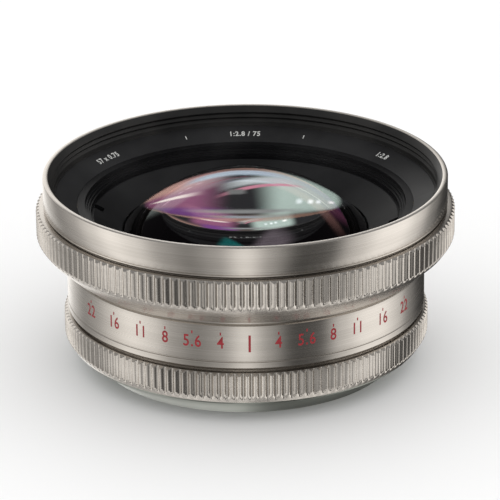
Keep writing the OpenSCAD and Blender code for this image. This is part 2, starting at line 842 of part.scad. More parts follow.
module front_spacer() {
    lap_z = second_top + rise(second_dome_r, inner_glass_r, spacer_lap) + running_gap;
    slot_w = 1.6;
    slot_d = 0.6;
    color(STEEL)
    difference() {
        rotate_extrude()
        polygon([[inner_glass_r - spacer_lap, lap_z], [inner_glass_r, second_top + running_gap],
            [spacer_r, second_top + running_gap], [spacer_r, spacer_top],
            [inner_glass_r + free_gap, spacer_top]]);
        for (a = [0 : 60 : 120])
            rotate([0, 0, a]) spanner_slots(spacer_r + cut_over, slot_w, spacer_top - slot_d, cut_over);
    }
}

module iris_housing() {
    window_half = asin(lug_w / 2 / housing_in_r) + 1;
    window_start = arm_azimuth - aperture_set;
    plate_in_r = iris_open_r + 1;
    plate_top = plate_z + plate_t;
    wall_top = cell_z + spigot_h;
    color(BLACK)
    difference() {
        rotate_extrude()
        polygon([[plate_in_r, plate_z], [housing_r, plate_z], [housing_r, wall_top],
            [housing_in_r, wall_top], [housing_in_r, plate_top], [plate_in_r, plate_top]]);
        round_axis(blade_count, pivot_r, 0)
            translate([0, 0, plate_z - eps])
            cylinder(r = blade_pin_r + running_gap, h = plate_t + cut_over);
        // Window that the cam ring's lug sweeps
        sector(housing_in_r - housing_wall, housing_r + housing_wall, window_start - window_half,
            window_start + aperture_turn + window_half, cam_z - slot_room, cam_z + cam_t + slot_room);
        round_axis(cell_screw_count, cell_screw_pcr, cell_screw_azimuth)
            translate([0, 0, plate_z - eps]) cylinder(r = small_room_r, h = plate_t + cut_over);
    }
}

module iris_cover_ring() {
    split = [80, 88];
    color(STEEL)
    difference() {
        tube(inner_glass_r, housing_in_r - seat_gap, cover_z, cover_z + cover_t);
        sector(inner_glass_r - cut_over, housing_r, split[0], split[1], cover_z - cut_over,
            cover_z + cut_over);
    }
}

module iris_cam_ring() {
    half = blade_pin_r + running_gap;
    ring_in_r = iris_open_r + 1.6;
    steps = 24;
    path = [for (i = [-1 : steps + 1]) cam_point(aperture_turn * i / steps)];
    color(STEEL)
    difference() {
        union() {
            tube(ring_in_r, housing_in_r - free_gap, cam_z, cam_z + cam_t);
            radial_bar(housing_in_r - cut_over, finger_r + free_gap, lug_w, cam_z, cam_z + cam_t,
                arm_azimuth);
        }
        // Fork slot that the drive finger slides in
        radial_bar(finger_in_r - free_gap, finger_r + cut_over, finger_w + 2 * running_gap,
            cam_z - cut_over, cam_z + cam_t + cut_over, arm_azimuth);
        // Curved slots that turn the blades in step with the ring
        for (k = [0 : blade_count - 1])
            rotate([0, 0, k * 360 / blade_count])
            translate([0, 0, cam_z - cut_over]) {
                linear_extrude(cam_t + 2 * cut_over)
                    polygon(concat(
                        [for (i = [1 : steps + 1]) path[i] + half * slot_normal(path, i)],
                        [for (i = [steps + 1 : -1 : 1]) path[i] - half * slot_normal(path, i)]));
                for (end = [1, steps + 1])
                    translate(path[end]) cylinder(r = half, h = cam_t + 2 * cut_over);
            }
    }
}

// Unit normal of a path of points at its point i
function slot_normal(path, i) =
    let (d = path[i + 1] - path[i - 1])
    [-d[1], d[0]] / norm(d);

// One blade of the iris with its pivot pin below and its drive pin above
module iris_blade(number) {
    index = number - 1;
    low = blades_z + index * blade_pitch;
    mid_z = low + blade_t / 2;
    mid_r = iris_open_r + blade_w / 2;
    crank = polar(blade_crank, crank_angle);
    pivot_boss_r = 2.4 * blade_pin_r;
    crank_boss_r = 2.2 * blade_pin_r;
    neck_half = 1.9 * blade_pin_r;
    pin_sink = 0.1;
    pivot_low = plate_z + pin_sink;
    drive_top = cam_z + cam_t - pin_sink;
    color(BLADE)
    rotate([0, 0, index * 360 / blade_count])
    translate([pivot_r, 0, 0])
    rotate([0, 0, blade_set]) {
        translate([0, 0, low])
        linear_extrude(blade_t) {
            translate([-pivot_r, 0]) {
                intersection() {
                    difference() {
                        circle(iris_open_r + blade_w);
                        circle(iris_open_r);
                    }
                    wedge(3 * pivot_r, blade_tail, blade_tail + blade_sweep);
                }
                rotate(blade_tail + blade_sweep)
                    translate([mid_r, 0]) circle(blade_w / 2 - blade_shoulder);
            }
            circle(pivot_boss_r);
            translate(crank) circle(crank_boss_r);
            // Web from the boss of the drive pin to the pivot's and into the blade
            polygon([[0, crank_boss_r], crank + [neck_half, 0], crank - [neck_half, 0],
                [-pivot_boss_r, -3 * blade_pin_r], [-6.5 * blade_pin_r, 1.5 * blade_pin_r]]);
        }
        translate([0, 0, pivot_low]) cylinder(r = blade_pin_r, h = mid_z - pivot_low);
        translate([crank[0], crank[1], mid_z]) cylinder(r = blade_pin_r, h = drive_top - mid_z);
    }
}

module rear_cell() {
    lip_r = rear_glass_r - rear_lip_w;
    flange_low = rear_cell_top - rear_flange_t;
    bevel = 0.2;
    color(BLACK)
    difference() {
        rotate_extrude()
        polygon([[lip_r, rear_cell_top], [rear_flange_r, rear_cell_top], [rear_flange_r, flange_low],
            [rear_cell_r, flange_low], [rear_cell_r, rear_cell_z + bevel],
            [rear_cell_r - bevel, rear_cell_z], [rear_glass_r + seat_gap, rear_cell_z],
            [rear_glass_r + seat_gap, fourth_top + fit_gap], [lip_r, fourth_top + fit_gap]]);
        round_axis(cell_screw_count, cell_screw_pcr, cell_screw_azimuth)
            translate([0, 0, flange_low])
            screw_room(small_screw_r, cell_head_r, small_screw_r, rear_flange_t + cut_over);
    }
}

module rear_cell_screws() {
    length = rear_flange_t + plate_t - 0.1;
    color(STEEL)
    round_axis(cell_screw_count, cell_screw_pcr, cell_screw_azimuth)
        translate([0, 0, rear_cell_top - rear_flange_t + fit_gap])
        screw(small_screw_r, cell_head_r, small_screw_r, length);
}

module fourth_element() {
    color(GLASS)
    difference() {
        translate([0, 0, fourth_z + eps]) cylinder(r = rear_glass_r, h = fourth_edge_t - eps);
        translate([0, 0, fourth_top - sag(iris_side_hollow_r, iris_side_hollow_edge_r) + iris_side_hollow_r])
            sphere(iris_side_hollow_r, $fn = lens_fn);
    }
}

module fifth_element() {
    color(GLASS)
    intersection() {
        translate([0, 0, fourth_z - fifth_dome_r]) cylinder(r = rear_glass_r, h = fifth_dome_r);
        translate([0, 0, fifth_z - sag(fifth_dome_r, rear_glass_r) + fifth_dome_r])
            sphere(fifth_dome_r, $fn = lens_fn);
    }
}

module sixth_element() {
    color(GLASS)
    intersection() {
        translate([0, 0, sixth_z]) cylinder(r = rear_glass_r, h = rear_glass_r);
        translate([0, 0, sixth_top + sag(sixth_front_r, rear_glass_r) - sixth_front_r])
            sphere(sixth_front_r, $fn = lens_fn);
    }
}

module rear_spacer() {
    lap_r = rear_glass_r - spacer_lap;
    color(BLACK)
    rotate_extrude()
    polygon([[lap_r, sixth_top + rise(sixth_front_r, rear_glass_r, spacer_lap) + seat_gap],
        [rear_glass_r, sixth_top + fit_gap], [rear_glass_r, fifth_z - fit_gap],
        [lap_r, fifth_z - rise(fifth_dome_r, rear_glass_r, spacer_lap) - seat_gap]]);
}

module rear_retainer() {
    ledge = 1;
    mouth = 1.4;
    slot_w = 1.4;
    slot_d = 0.25;
    color(BLACK)
    difference() {
        rotate_extrude()
        polygon([[rear_glass_r - ledge, sixth_z - fit_gap], [rear_glass_r, sixth_z - fit_gap],
            [rear_glass_r, rear_cell_z], [rear_glass_r - mouth, rear_cell_z]]);
        spanner_slots(rear_glass_r, slot_w, rear_cell_z - cut_over, cut_over + slot_d);
    }
}

// ---- Aperture ring ----

module aperture_ring() {
    low = base_h + face_gap;
    top = floor_z - face_gap;
    edge_top = floor_z - 0.33;
    collar_r = aperture_in_r + 1.2;
    cone_w = 0.8;
    cone_h = 1.25;
    edge_w = 0.45;
    edge_h = 0.32;
    notch_r = 0.5;
    notch_in = 0.2;
    color(NICKEL)
    difference() {
        intersection() {
            rotate_extrude()
            polygon([[aperture_in_r, low], [aperture_r - cone_w, low], [aperture_r, low + cone_h],
                [aperture_r, edge_top - edge_h], [aperture_r - edge_w, edge_top], [collar_r, edge_top],
                [collar_r, top], [aperture_in_r, top]]);
            linear_extrude(rim_top) knurl_outline(aperture_r, knurl_depth, aperture_grooves);
        }
        // Click notches
        for (i = [0 : stop_count - 1])
            rotate([0, 0, click_azimuth + aperture_set - i * stop_step])
            translate([aperture_in_r + notch_in, 0, click_z - 1.1]) cylinder(r = notch_r, h = 2.2);
        // Pocket of the drive arm's foot
        radial_bar(aperture_in_r - cut_over, arm_foot_r + seat_gap, arm_foot_w + 2 * seat_gap,
            low - cut_over, arm_z + arm_h, arm_azimuth);
        arm_screw_holes(arm_z, arm_h + cut_over);
    }
}

// Holes of the drive arm's two screws, from height z
module arm_screw_holes(z, depth) {
    for (side = [-1, 1])
        rotate([0, 0, arm_azimuth])
        translate([arm_screw_pcr, side * arm_screw_side, z]) cylinder(r = small_room_r, h = depth);
}

module aperture_drive_arm() {
    arm_top = arm_z + arm_h - fit_gap;
    neck_in = 0.4;
    color(BRASS)
    difference() {
        union() {
            intersection() {
                radial_bar(aperture_in_r, arm_foot_r, arm_foot_w, arm_z, arm_top, arm_azimuth);
                tube(aperture_in_r + fit_gap, 2 * aperture_r, 0, rim_top);
            }
            radial_bar(finger_in_r, aperture_in_r + neck_in, arm_w, arm_z, arm_top, arm_azimuth);
            radial_bar(finger_in_r, finger_r, finger_w, arm_z, finger_top, arm_azimuth);
        }
        arm_screw_holes(arm_z - cut_over, arm_h + 2 * cut_over);
    }
}

module aperture_arm_screws() {
    head_h = 0.4;
    grip = 0.8;
    color(STEEL)
    for (side = [-1, 1])
        rotate([0, 0, arm_azimuth])
        translate([arm_screw_pcr, side * arm_screw_side, arm_z - head_h]) {
            cylinder(r = small_screw_r, h = head_h + arm_h + grip);
            difference() {
                cylinder(r = round_head_r, h = head_h - fit_gap);
                slit(round_head_r, -eps, slit_d);
            }
        }
}

mount_ring();
mount_screws();
barrel();
rear_baffle();
guide_keys();
guide_key_screws();
focus_keeper_ring();
focus_stop_pin();
click_ball();
click_spring();
click_spring_screw();
focus_ring();
helicoid_ring();
helicoid_lock_pins();
helicoid_sleeve();
front_ring();
front_ring_screws();
name_ring();
baffle_ring();
front_retainer();
front_cell();
front_element();
second_element();
third_element();
front_spacer();
iris_housing();
iris_cover_ring();
rear_cell();
rear_cell_screws();
fourth_element();
fifth_element();
sixth_element();
rear_spacer();
rear_retainer();
aperture_ring();
aperture_drive_arm();
aperture_arm_screws();
iris_cam_ring();
iris_blade(1);  // iris_blade_1
iris_blade(2);  // iris_blade_2
iris_blade(3);  // iris_blade_3
iris_blade(4);  // iris_blade_4
iris_blade(5);  // iris_blade_5
iris_blade(6);  // iris_blade_6
iris_blade(7);  // iris_blade_7
iris_blade(8);  // iris_blade_8
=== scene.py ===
"""Looks of a manual-focus prime lens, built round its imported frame.

The outer rings, the glass and the engraved figures are modelled here and ride on the
frame's bodies. The inner works are the frame's own nodes with a finish of their own.
Lengths in the classes are millimetres and are turned into metres where a mesh is made.
"""
import json
import logging
import math
from collections.abc import Callable
from dataclasses import dataclass
from enum import Enum

import bmesh
import bpy
from mathutils import Matrix, Vector


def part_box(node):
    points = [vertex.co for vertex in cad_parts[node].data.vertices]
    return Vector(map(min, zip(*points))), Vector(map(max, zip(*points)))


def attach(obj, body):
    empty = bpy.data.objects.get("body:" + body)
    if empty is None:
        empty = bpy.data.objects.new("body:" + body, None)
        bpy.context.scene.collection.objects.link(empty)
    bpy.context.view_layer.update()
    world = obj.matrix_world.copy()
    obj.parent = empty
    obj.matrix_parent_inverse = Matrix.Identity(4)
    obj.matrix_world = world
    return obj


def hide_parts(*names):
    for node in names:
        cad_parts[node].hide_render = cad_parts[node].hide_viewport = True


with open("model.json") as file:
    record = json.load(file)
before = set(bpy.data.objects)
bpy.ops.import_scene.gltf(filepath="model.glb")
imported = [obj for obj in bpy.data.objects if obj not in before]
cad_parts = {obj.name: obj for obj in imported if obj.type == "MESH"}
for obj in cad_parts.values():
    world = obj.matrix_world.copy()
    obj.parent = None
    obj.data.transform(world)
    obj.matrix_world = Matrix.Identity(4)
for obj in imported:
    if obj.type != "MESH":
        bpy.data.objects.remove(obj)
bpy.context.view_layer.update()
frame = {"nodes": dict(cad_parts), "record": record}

MM = 0.001
COLUMNS = 6  # points round a ring for each tooth of its knurl
QUARTER_TURN = 0.25  # turns the streaks of a sheen across the turning marks
FIT = 0.02  # gap of a seated face, in millimetres
SEAT_GAP = 0.03
RUNNING_GAP = 0.05
FREE_GAP = 0.2
log = logging.getLogger("prime_lens")

Point = tuple[float, float]
Colour = tuple[float, float, float]
Socket = bpy.types.NodeSocket


class Body(Enum):
    """Bodies of the frame that new pieces ride on."""

    BARREL = "fixed_barrel"
    FOCUS = "focusing_ring"
    FRONT = "front_unit"
    STOP = "stop_ring"


class Slot(Enum):
    """Material slots of the record."""

    NICKEL = "nickel_satin"
    REAR = "rear_metal"
    STEEL = "screw_steel"
    SPACER = "spacer_grey"
    BLACK = "black_anodised"
    BLADE = "blade_steel"
    BRASS = "brass"
    COATED = "coated_glass"
    CLEAR = "clear_glass"


class Reading(Enum):
    """Which way a ring of figures is read."""

    OUTSIDE = 1
    FROM_FRONT = 2


# ---- Bench: the few operations that every ring needs ----


def clear_selection() -> None:
    """Leaves edit mode and deselects everything, the frame's nodes among them."""
    if bpy.context.object and bpy.context.object.mode != "OBJECT":
        bpy.ops.object.mode_set(mode="OBJECT")
    bpy.ops.object.select_all(action="DESELECT")


def activate(piece: bpy.types.Object) -> None:
    """Makes one piece the only selected and active one."""
    clear_selection()
    piece.select_set(True)
    bpy.context.view_layer.objects.active = piece


def select_points(piece: bpy.types.Object, test: Callable[[Vector], bool]) -> int:
    """Selects the points of a piece in edit mode that pass a test.

    Args:
        piece: the piece, already in edit mode.
        test: a function of a point's place that says whether to select it.

    Returns:
        How many points were selected.
    """
    mesh = bmesh.from_edit_mesh(piece.data)
    bpy.ops.mesh.select_all(action="DESELECT")
    chosen = [point for point in mesh.verts if test(point.co)]
    for point in chosen:
        point.select = True
    mesh.select_flush(True)
    bmesh.update_edit_mesh(piece.data)
    return len(chosen)


def turn(name: str, outline: list[Point], segments: int, turned_by: float = 0.0) -> bpy.types.Object:
    """Turns a closed ring about the optical axis, one extruded loop after another.

    Args:
        name: name of the piece.
        outline: closed outline as (radius, height) points in millimetres.
        segments: number of points round the ring.
        turned_by: angle of the first point, in radians.

    Returns:
        The ring, with outward faces.
    """
    clear_selection()
    radius, height = outline[0]
    bpy.ops.mesh.primitive_circle_add(vertices=segments, radius=radius * MM,
                                      location=(0, 0, height * MM), rotation=(0, 0, turned_by))
    piece = bpy.context.object
    piece.name = piece.data.name = name
    bpy.ops.object.transform_apply(location=True, rotation=True)
    bpy.ops.object.mode_set(mode="EDIT")
    bpy.ops.mesh.select_mode(type="VERT")
    bpy.ops.mesh.select_all(action="SELECT")
    for next_radius, next_height in outline[1:] + outline[:1]:
        rise = (0, 0, (next_height - height) * MM)
        bpy.ops.mesh.extrude_region_move(TRANSFORM_OT_translate={"value": rise})
        ratio = next_radius / radius
        bpy.ops.transform.resize(value=(ratio, ratio, 1), center_override=(0, 0, 0))
        radius, height = next_radius, next_height
    bpy.ops.mesh.select_all(action="SELECT")
    bpy.ops.mesh.remove_doubles(threshold=1e-7)
    bpy.ops.mesh.normals_make_consistent(inside=False)
    bpy.ops.object.mode_set(mode="OBJECT")
    return piece


def turn_disc(name: str, outline: list[Point], segments: int) -> bpy.types.Object:
    """Turns a solid disc, such as a lens, whose outline starts and ends near the axis.

    Args:
        name: name of the piece.
        outline: open outline as (radius, height) points in millimetres, from axis to axis.
        segments: number of points round the disc.

    Returns:
        The disc, its two poles closed by fans.
    """
    clear_selection()
    radius, height = outline[0]
    bpy.ops.mesh.primitive_circle_add(vertices=segments, radius=radius * MM, fill_type="NGON",
                                      location=(0, 0, height * MM))
    piece = bpy.context.object
    piece.name = piece.data.name = name
    bpy.ops.object.transform_apply(location=True)
    bpy.ops.object.mode_set(mode="EDIT")
    bpy.ops.mesh.select_mode(type="FACE")
    bpy.ops.mesh.select_all(action="SELECT")
    for next_radius, next_height in outline[1:]:
        rise = (0, 0, (next_height - height) * MM)
        bpy.ops.mesh.extrude_region_move(TRANSFORM_OT_translate={"value": rise})
        ratio = next_radius / radius
        bpy.ops.transform.resize(value=(ratio, ratio, 1), center_override=(0, 0, 0))
        radius, height = next_radius, next_height
    bpy.ops.mesh.select_all(action="SELECT")
    bpy.ops.mesh.normals_make_consistent(inside=False)
    bpy.ops.object.mode_set(mode="OBJECT")
    return piece


def ease_edges(piece: bpy.types.Object, width: float, segments: int = 2, angle: float = 28.0) -> None:
    """Rounds the sharp edges of a piece with an applied Bevel.

    Args:
        piece: the piece.
        width: width of the rounding, in millimetres.
        segments: faces across the rounding.
        angle: sharpest angle that is left alone, in degrees.
    """
    activate(piece)
    bevel = piece.modifiers.new("eased", "BEVEL")
    bevel.width = width * MM
    bevel.segments = segments
    bevel.limit_method = "ANGLE"
    bevel.angle_limit = math.radians(angle)
    bpy.ops.object.modifier_apply(modifier=bevel.name)


def smooth(piece: bpy.types.Object, angle: float = 30.0) -> None:
    """Shades a piece smooth where its faces meet at less than an angle in degrees."""
    activate(piece)
    bpy.ops.object.shade_smooth_by_angle(angle=math.radians(angle))


def cut_away(piece: bpy.types.Object, cutter: bpy.types.Object) -> None:
    """Cuts a cutter out of a piece and throws the cutter away."""
    activate(piece)
    boolean = piece.modifiers.new("cut", "BOOLEAN")
    boolean.operation = "DIFFERENCE"
    boolean.solver = "EXACT"
    boolean.object = cutter
    bpy.ops.object.modifier_apply(modifier=boolean.name)
    bpy.data.objects.remove(cutter, do_unlink=True)


def cut_knurl(piece: bpy.types.Object, radius: float, floor: float, teeth: int) -> None:
    """Sinks the grooves of a knurl into a ring that was turned with COLUMNS points a tooth.

    Args:
        piece: the ring.
        radius: radius over the crests, in millimetres.
        floor: radius of the grooves' floors, in millimetres.
        teeth: number of grooves.
    """
    pitch = 2 * math.pi / teeth
    activate(piece)
    bpy.ops.object.mode_set(mode="EDIT")
    bpy.ops.mesh.select_mode(type="VERT")
    half_depth = (radius + floor) / 2
    for columns, depth in (((2, 5), half_depth), ((3, 4), floor)):

        def in_groove(place: Vector) -> bool:
            """Whether a point is on this groove's columns and still stands too far out."""
            column = round(math.atan2(place.y, place.x) % (2 * math.pi) / pitch * COLUMNS) % COLUMNS
            return column in columns and math.hypot(place.x, place.y) > (depth + 0.001) * MM

        while select_points(piece, in_groove):
            mesh = bmesh.from_edit_mesh(piece.data)
            chosen = [point for point in mesh.verts if point.select]
            outer = max(math.hypot(point.co.x, point.co.y) for point in chosen)
            for point in chosen:
                point.select = math.hypot(point.co.x, point.co.y) > outer - 1e-6
            ratio = depth * MM / outer
            bpy.ops.transform.resize(value=(ratio, ratio, 1), center_override=(0, 0, 0))
    bpy.ops.object.mode_set(mode="OBJECT")


def arc(radius: float, centre: float, reach_from: float, reach_to: float, steps: int) -> list[Point]:
    """Points of a ball's meridian, as a lens maker turns a dome.

    Args:
        radius: the ball's radius in millimetres; negative for a hollow seen from above.
        centre: height of the ball's centre.
        reach_from: distance from the axis at the start.
        reach_to: distance from the axis at the end.
        steps: number of steps between them.

    Returns:
        The (distance, height) points, both ends included.
    """
    side = math.copysign(1, radius)
    reaches = [reach_from + (reach_to - reach_from) * i / steps for i in range(steps + 1)]
    return [(e, centre + side * math.sqrt(radius * radius - e * e)) for e in reaches]


def sag(radius: float, reach: float) -> float:
    """Depth of a dome of a radius at a distance from its axis."""
    return radius - math.sqrt(radius * radius - reach * reach)


# ---- Finishes ----


class Sheet:
    """A material's node tree while it is being drawn up."""

    def __init__(self, name: str) -> None:
        """Starts a material of that name with its shader."""
        self.material = bpy.data.materials.new(name)
        self.material.use_nodes = True
        self.tree = self.material.node_tree
        self.shader = self.tree.nodes["Principled BSDF"]

    def add(self, kind: str, **inputs) -> bpy.types.Node:
        """Adds a node and sets or links its inputs.

        Args:
            kind: the node's type name without the ShaderNode prefix.
            inputs: values, or sockets to link, by input name with _ for a space.

        Returns:
            The node.
        """
        node = self.tree.nodes.new("ShaderNode" + kind)
        for key, value in inputs.items():
            self.feed(node, key.replace("_", " "), value)
        return node

    def feed(self, node: bpy.types.Node, key: str | int, value: float | Point | Colour | Socket) -> None:
        """Sets an input of a node to a value, or links a socket to it."""
        if isinstance(value, Socket):
            self.tree.links.new(value, node.inputs[key])
        else:
            node.inputs[key].default_value = value

    def maths(self, operation: str, *values: float | Socket) -> Socket:
        """A Math node's result for one, two or three values or sockets."""
        node = self.tree.nodes.new("ShaderNodeMath")
        node.operation = operation
        for index, value in enumerate(values):
            self.feed(node, index, value)
        return node.outputs[0]

    def blend(self, factor: float | Socket, dark: Colour, light: Colour) -> Socket:
        """Mixes two colours by a factor."""
        node = self.tree.nodes.new("ShaderNodeMix")
        node.data_type = "RGBA"
        self.feed(node, 0, factor)
        node.inputs[6].default_value = (*dark, 1)
        node.inputs[7].default_value = (*light, 1)
        return node.outputs[2]

    def turned_place(self, across: float, along: float) -> Socket:
        """Coordinates in which noise runs in fine lines round the optical axis.

        Args:
            across: lines per metre across the turning marks.
            along: how fast the marks change round the axis.

        Returns:
            A vector socket.
        """
        place = self.add("TexCoord").outputs["Object"]
        split = self.add("SeparateXYZ", Vector=place)
        x, y, z = split.outputs
        squares = self.maths("ADD", self.maths("MULTIPLY", x, x), self.maths("MULTIPLY", y, y))
        radius = self.maths("SQRT", squares)
        angle = self.maths("ARCTAN2", y, x)
        joined = self.add("CombineXYZ", X=self.maths("MULTIPLY", radius, across),
                          Y=self.maths("MULTIPLY", self.maths("SINE", angle), along),
                          Z=self.maths("MULTIPLY", z, across))
        return joined.outputs[0]

    def noise(self, vector: Socket, scale: float, detail: float = 2.0) -> Socket:
        """A noise texture's value."""
        return self.add("TexNoise", Vector=vector, Scale=scale, Detail=detail).outputs["Fac"]

    def spread(self, value: Socket, low: float, high: float, to_low: float, to_high: float) -> Socket:
        """Maps a value's range on another range."""
        node = self.add("MapRange", Value=value)
        for index, number in enumerate((low, high, to_low, to_high), start=1):
            node.inputs[index].default_value = number
        return node.outputs[0]

    def bump(self, height: Socket, strength: float, distance: float) -> None:
        """Gives the shader a bump of that strength and height in millimetres."""
        node = self.add("Bump", Height=height, Strength=strength, Distance=distance * MM)
        self.feed(self.shader, "Normal", node.outputs[0])


@dataclass(frozen=True)
class TurnedMetal:
    """Bare metal from the lathe: fine lines round the axis and a streaked sheen."""

    name: str
    shade: Colour
    light: Colour
    roughness: float = 0.25
    streak: float = 0.7
    lines: float = 7000.0
    depth: float = 0.0025

    def material(self) -> bpy.types.Material:
        """Draws the finish up and returns it."""
        sheet = Sheet(self.name)
        place = sheet.add("TexCoord").outputs["Object"]
        marks = sheet.noise(sheet.turned_place(self.lines, 2.0), 1.0, 3.0)
        bands = sheet.noise(sheet.turned_place(self.lines / 14, 0.6), 1.0, 1.0)
        smudge = sheet.noise(place, 90.0, 4.0)
        tone = sheet.maths("ADD", sheet.maths("MULTIPLY", marks, 0.45), sheet.maths("MULTIPLY", bands, 0.55))
        sheet.feed(sheet.shader, "Base Color", sheet.blend(sheet.spread(tone, 0.35, 0.65, 0.0, 1.0),
                                                           self.shade, self.light))
        rough = sheet.maths("ADD", sheet.spread(smudge, 0.3, 0.7, -0.035, 0.035),
                            sheet.spread(marks, 0.3, 0.7, self.roughness - 0.03, self.roughness + 0.03))
        sheet.feed(sheet.shader, "Roughness", rough)
        sheet.shader.inputs["Metallic"].default_value = 1.0
        sheet.shader.inputs["Anisotropic"].default_value = self.streak
        sheet.shader.inputs["Anisotropic Rotation"].default_value = QUARTER_TURN
        tangent = sheet.add("Tangent")
        tangent.direction_type = "RADIAL"
        tangent.axis = "Z"
        sheet.feed(sheet.shader, "Tangent", tangent.outputs[0])
        sheet.bump(marks, 0.25, self.depth)
        return sheet.material


@dataclass(frozen=True)
class Anodised:
    """Dark anodised metal: nearly matt, with a faint grain and turning marks."""

    name: str
    shade: Colour
    light: Colour
    roughness: float = 0.42
    gleam: float = 0.22

    def material(self) -> bpy.types.Material:
        """Draws the finish up and returns it."""
        sheet = Sheet(self.name)
        place = sheet.add("TexCoord").outputs["Object"]
        grain = sheet.noise(place, 9000.0, 2.0)
        marks = sheet.noise(sheet.turned_place(5200.0, 1.5), 1.0, 2.0)
        patch = sheet.noise(place, 120.0, 3.0)
        sheet.feed(sheet.shader, "Base Color", sheet.blend(sheet.spread(patch, 0.35, 0.65, 0.0, 1.0),
                                                           self.shade, self.light))
        sheet.feed(sheet.shader, "Roughness", sheet.spread(patch, 0.3, 0.7, self.roughness - 0.05,
                                                           self.roughness + 0.06))
        sheet.shader.inputs["Specular IOR Level"].default_value = self.gleam
        both = sheet.maths("ADD", sheet.maths("MULTIPLY", grain, 0.4), marks)
        sheet.bump(both, 0.3, 0.003)
        return sheet.material


@dataclass(frozen=True)
class Glass:
    """Optical glass with a coating that tints what it reflects."""

    name: str
    body: Colour
    tint: Colour
    index: float = 1.62

    def material(self) -> bpy.types.Material:
        """Draws the finish up and returns it."""
        sheet = Sheet(self.name)
        place = sheet.add("TexCoord").outputs["Object"]
        dust = sheet.noise(place, 2500.0, 6.0)
        patch = sheet.noise(place, 60.0, 2.0)
        clean = sheet.maths("MULTIPLY", sheet.spread(dust, 0.62, 0.8, 1.0, 0.4), patch)
        deeper = tuple(channel * 0.95 for channel in self.body)
        sheet.feed(sheet.shader, "Base Color", sheet.blend(clean, deeper, self.body))
        sheet.shader.inputs["Roughness"].default_value = 0.0
        sheet.shader.inputs["Transmission Weight"].default_value = 1.0
        sheet.shader.inputs["IOR"].default_value = self.index
        sheet.shader.inputs["Specular Tint"].default_value = (*self.tint, 1)
        return sheet.material


@dataclass(frozen=True)
class Ink:
    """Paint that fills an engraved figure."""

    name: str
    shade: Colour
    light: Colour

    def material(self) -> bpy.types.Material:
        """Draws the finish up and returns it."""
        sheet = Sheet(self.name)
        place = sheet.add("TexCoord").outputs["Object"]
        patch = sheet.noise(place, 2600.0, 3.0)
        sheet.feed(sheet.shader, "Base Color", sheet.blend(sheet.spread(patch, 0.3, 0.7, 0.0, 1.0),
                                                           self.shade, self.light))
        sheet.feed(sheet.shader, "Roughness", sheet.spread(patch, 0.3, 0.7, 0.38, 0.55))
        sheet.bump(patch, 0.2, 0.004)
        return sheet.material


Finish = TurnedMetal | Anodised | Glass | Ink

NICKEL = TurnedMetal("satin_nickel", (0.52, 0.485, 0.445), (0.66, 0.62, 0.575))
REAR_METAL = TurnedMetal("rear_nickel", (0.235, 0.25, 0.225), (0.30, 0.315, 0.285), roughness=0.34)
STEEL = TurnedMetal("bright_steel", (0.44, 0.43, 0.42), (0.56, 0.55, 0.54), roughness=0.26)
BRASS = TurnedMetal("turned_brass", (0.62, 0.45, 0.20), (0.78, 0.60, 0.30), roughness=0.28)
SPACER = TurnedMetal("grey_spacer", (0.17, 0.17, 0.175), (0.24, 0.24, 0.245), roughness=0.4)
BLACK = Anodised("black_anodised", (0.006, 0.006, 0.007), (0.013, 0.013, 0.014))
NAME_BLACK = Anodised("name_ring_black", (0.011, 0.011, 0.012), (0.021, 0.021, 0.022), roughness=0.40)
WALL_BLACK = Anodised("thread_black", (0.012, 0.012, 0.012), (0.024, 0.023, 0.022), roughness=0.34)
BLADE = Anodised("blackened_steel", (0.030, 0.030, 0.034), (0.050, 0.050, 0.056), roughness=0.30)
FRONT_GLASS = Glass("magenta_coated_glass", (0.90, 0.89, 0.90), (1.0, 0.80, 0.90), index=1.72)
BACK_GLASS = Glass("teal_coated_glass", (0.90, 0.94, 0.93), (0.55, 0.95, 0.90), index=1.62)
CLEAR_GLASS = Glass("clear_glass", (0.90, 0.92, 0.91), (0.85, 0.75, 1.0), index=1.55)
RED_INK = Ink("red_ink", (0.24, 0.008, 0.014), (0.34, 0.014, 0.022))
WHITE_INK = Ink("white_ink", (0.40, 0.40, 0.39), (0.58, 0.58, 0.56))

INNER_FINISHES = {
    Slot.STEEL: STEEL, Slot.SPACER: SPACER, Slot.BLACK: BLACK, Slot.BLADE: BLADE, Slot.BRASS: BRASS,
    Slot.CLEAR: CLEAR_GLASS, Slot.COATED: BACK_GLASS, Slot.NICKEL: NICKEL, Slot.REAR: REAR_METAL,
}


class Finishes:
    """Every material, made once and handed out by its finish."""

    def __init__(self) -> None:
        """Starts with no material made."""
        self.made: dict[str, bpy.types.Material] = {}

    def of(self, finish: Finish) -> bpy.types.Material:
        """Returns a finish's material, making it the first time."""
        if finish.name not in self.made:
            self.made[finish.name] = finish.material()
        return self.made[finish.name]

    def put(self, piece: bpy.types.Object, finish: Finish) -> None:
        """Dresses a piece all over in one finish."""
        piece.data.materials.clear()
        piece.data.materials.append(self.of(finish))


FINISHES = Finishes()


def place_piece(piece: bpy.types.Object, finish: Finish, body: Body, slot: Slot,
                *nodes: str) -> bpy.types.Object:
    """Dresses a finished piece and ties it to the frame.

    Args:
        piece: the finished piece.
        finish: its finish.
        body: the body that it rides on.
        slot: the record's slot that its finish stands for; not used.
        nodes: the frame's nodes that it replaces.

    Returns:
        The piece.
    """
    FINISHES.put(piece, finish)
    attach(piece, body.value)
    if nodes:
        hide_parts(*nodes)
    log.info("%s: %d faces, rides on %s", piece.name, len(piece.data.polygons), body.value)
    return piece


def span(node: str) -> tuple[float, float, float]:
    """Outer radius, lowest and highest point of a node of the frame, in millimetres."""
    low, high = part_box(node)
    return high.x / MM, low.z / MM, high.z / MM


# ---- Figures ----


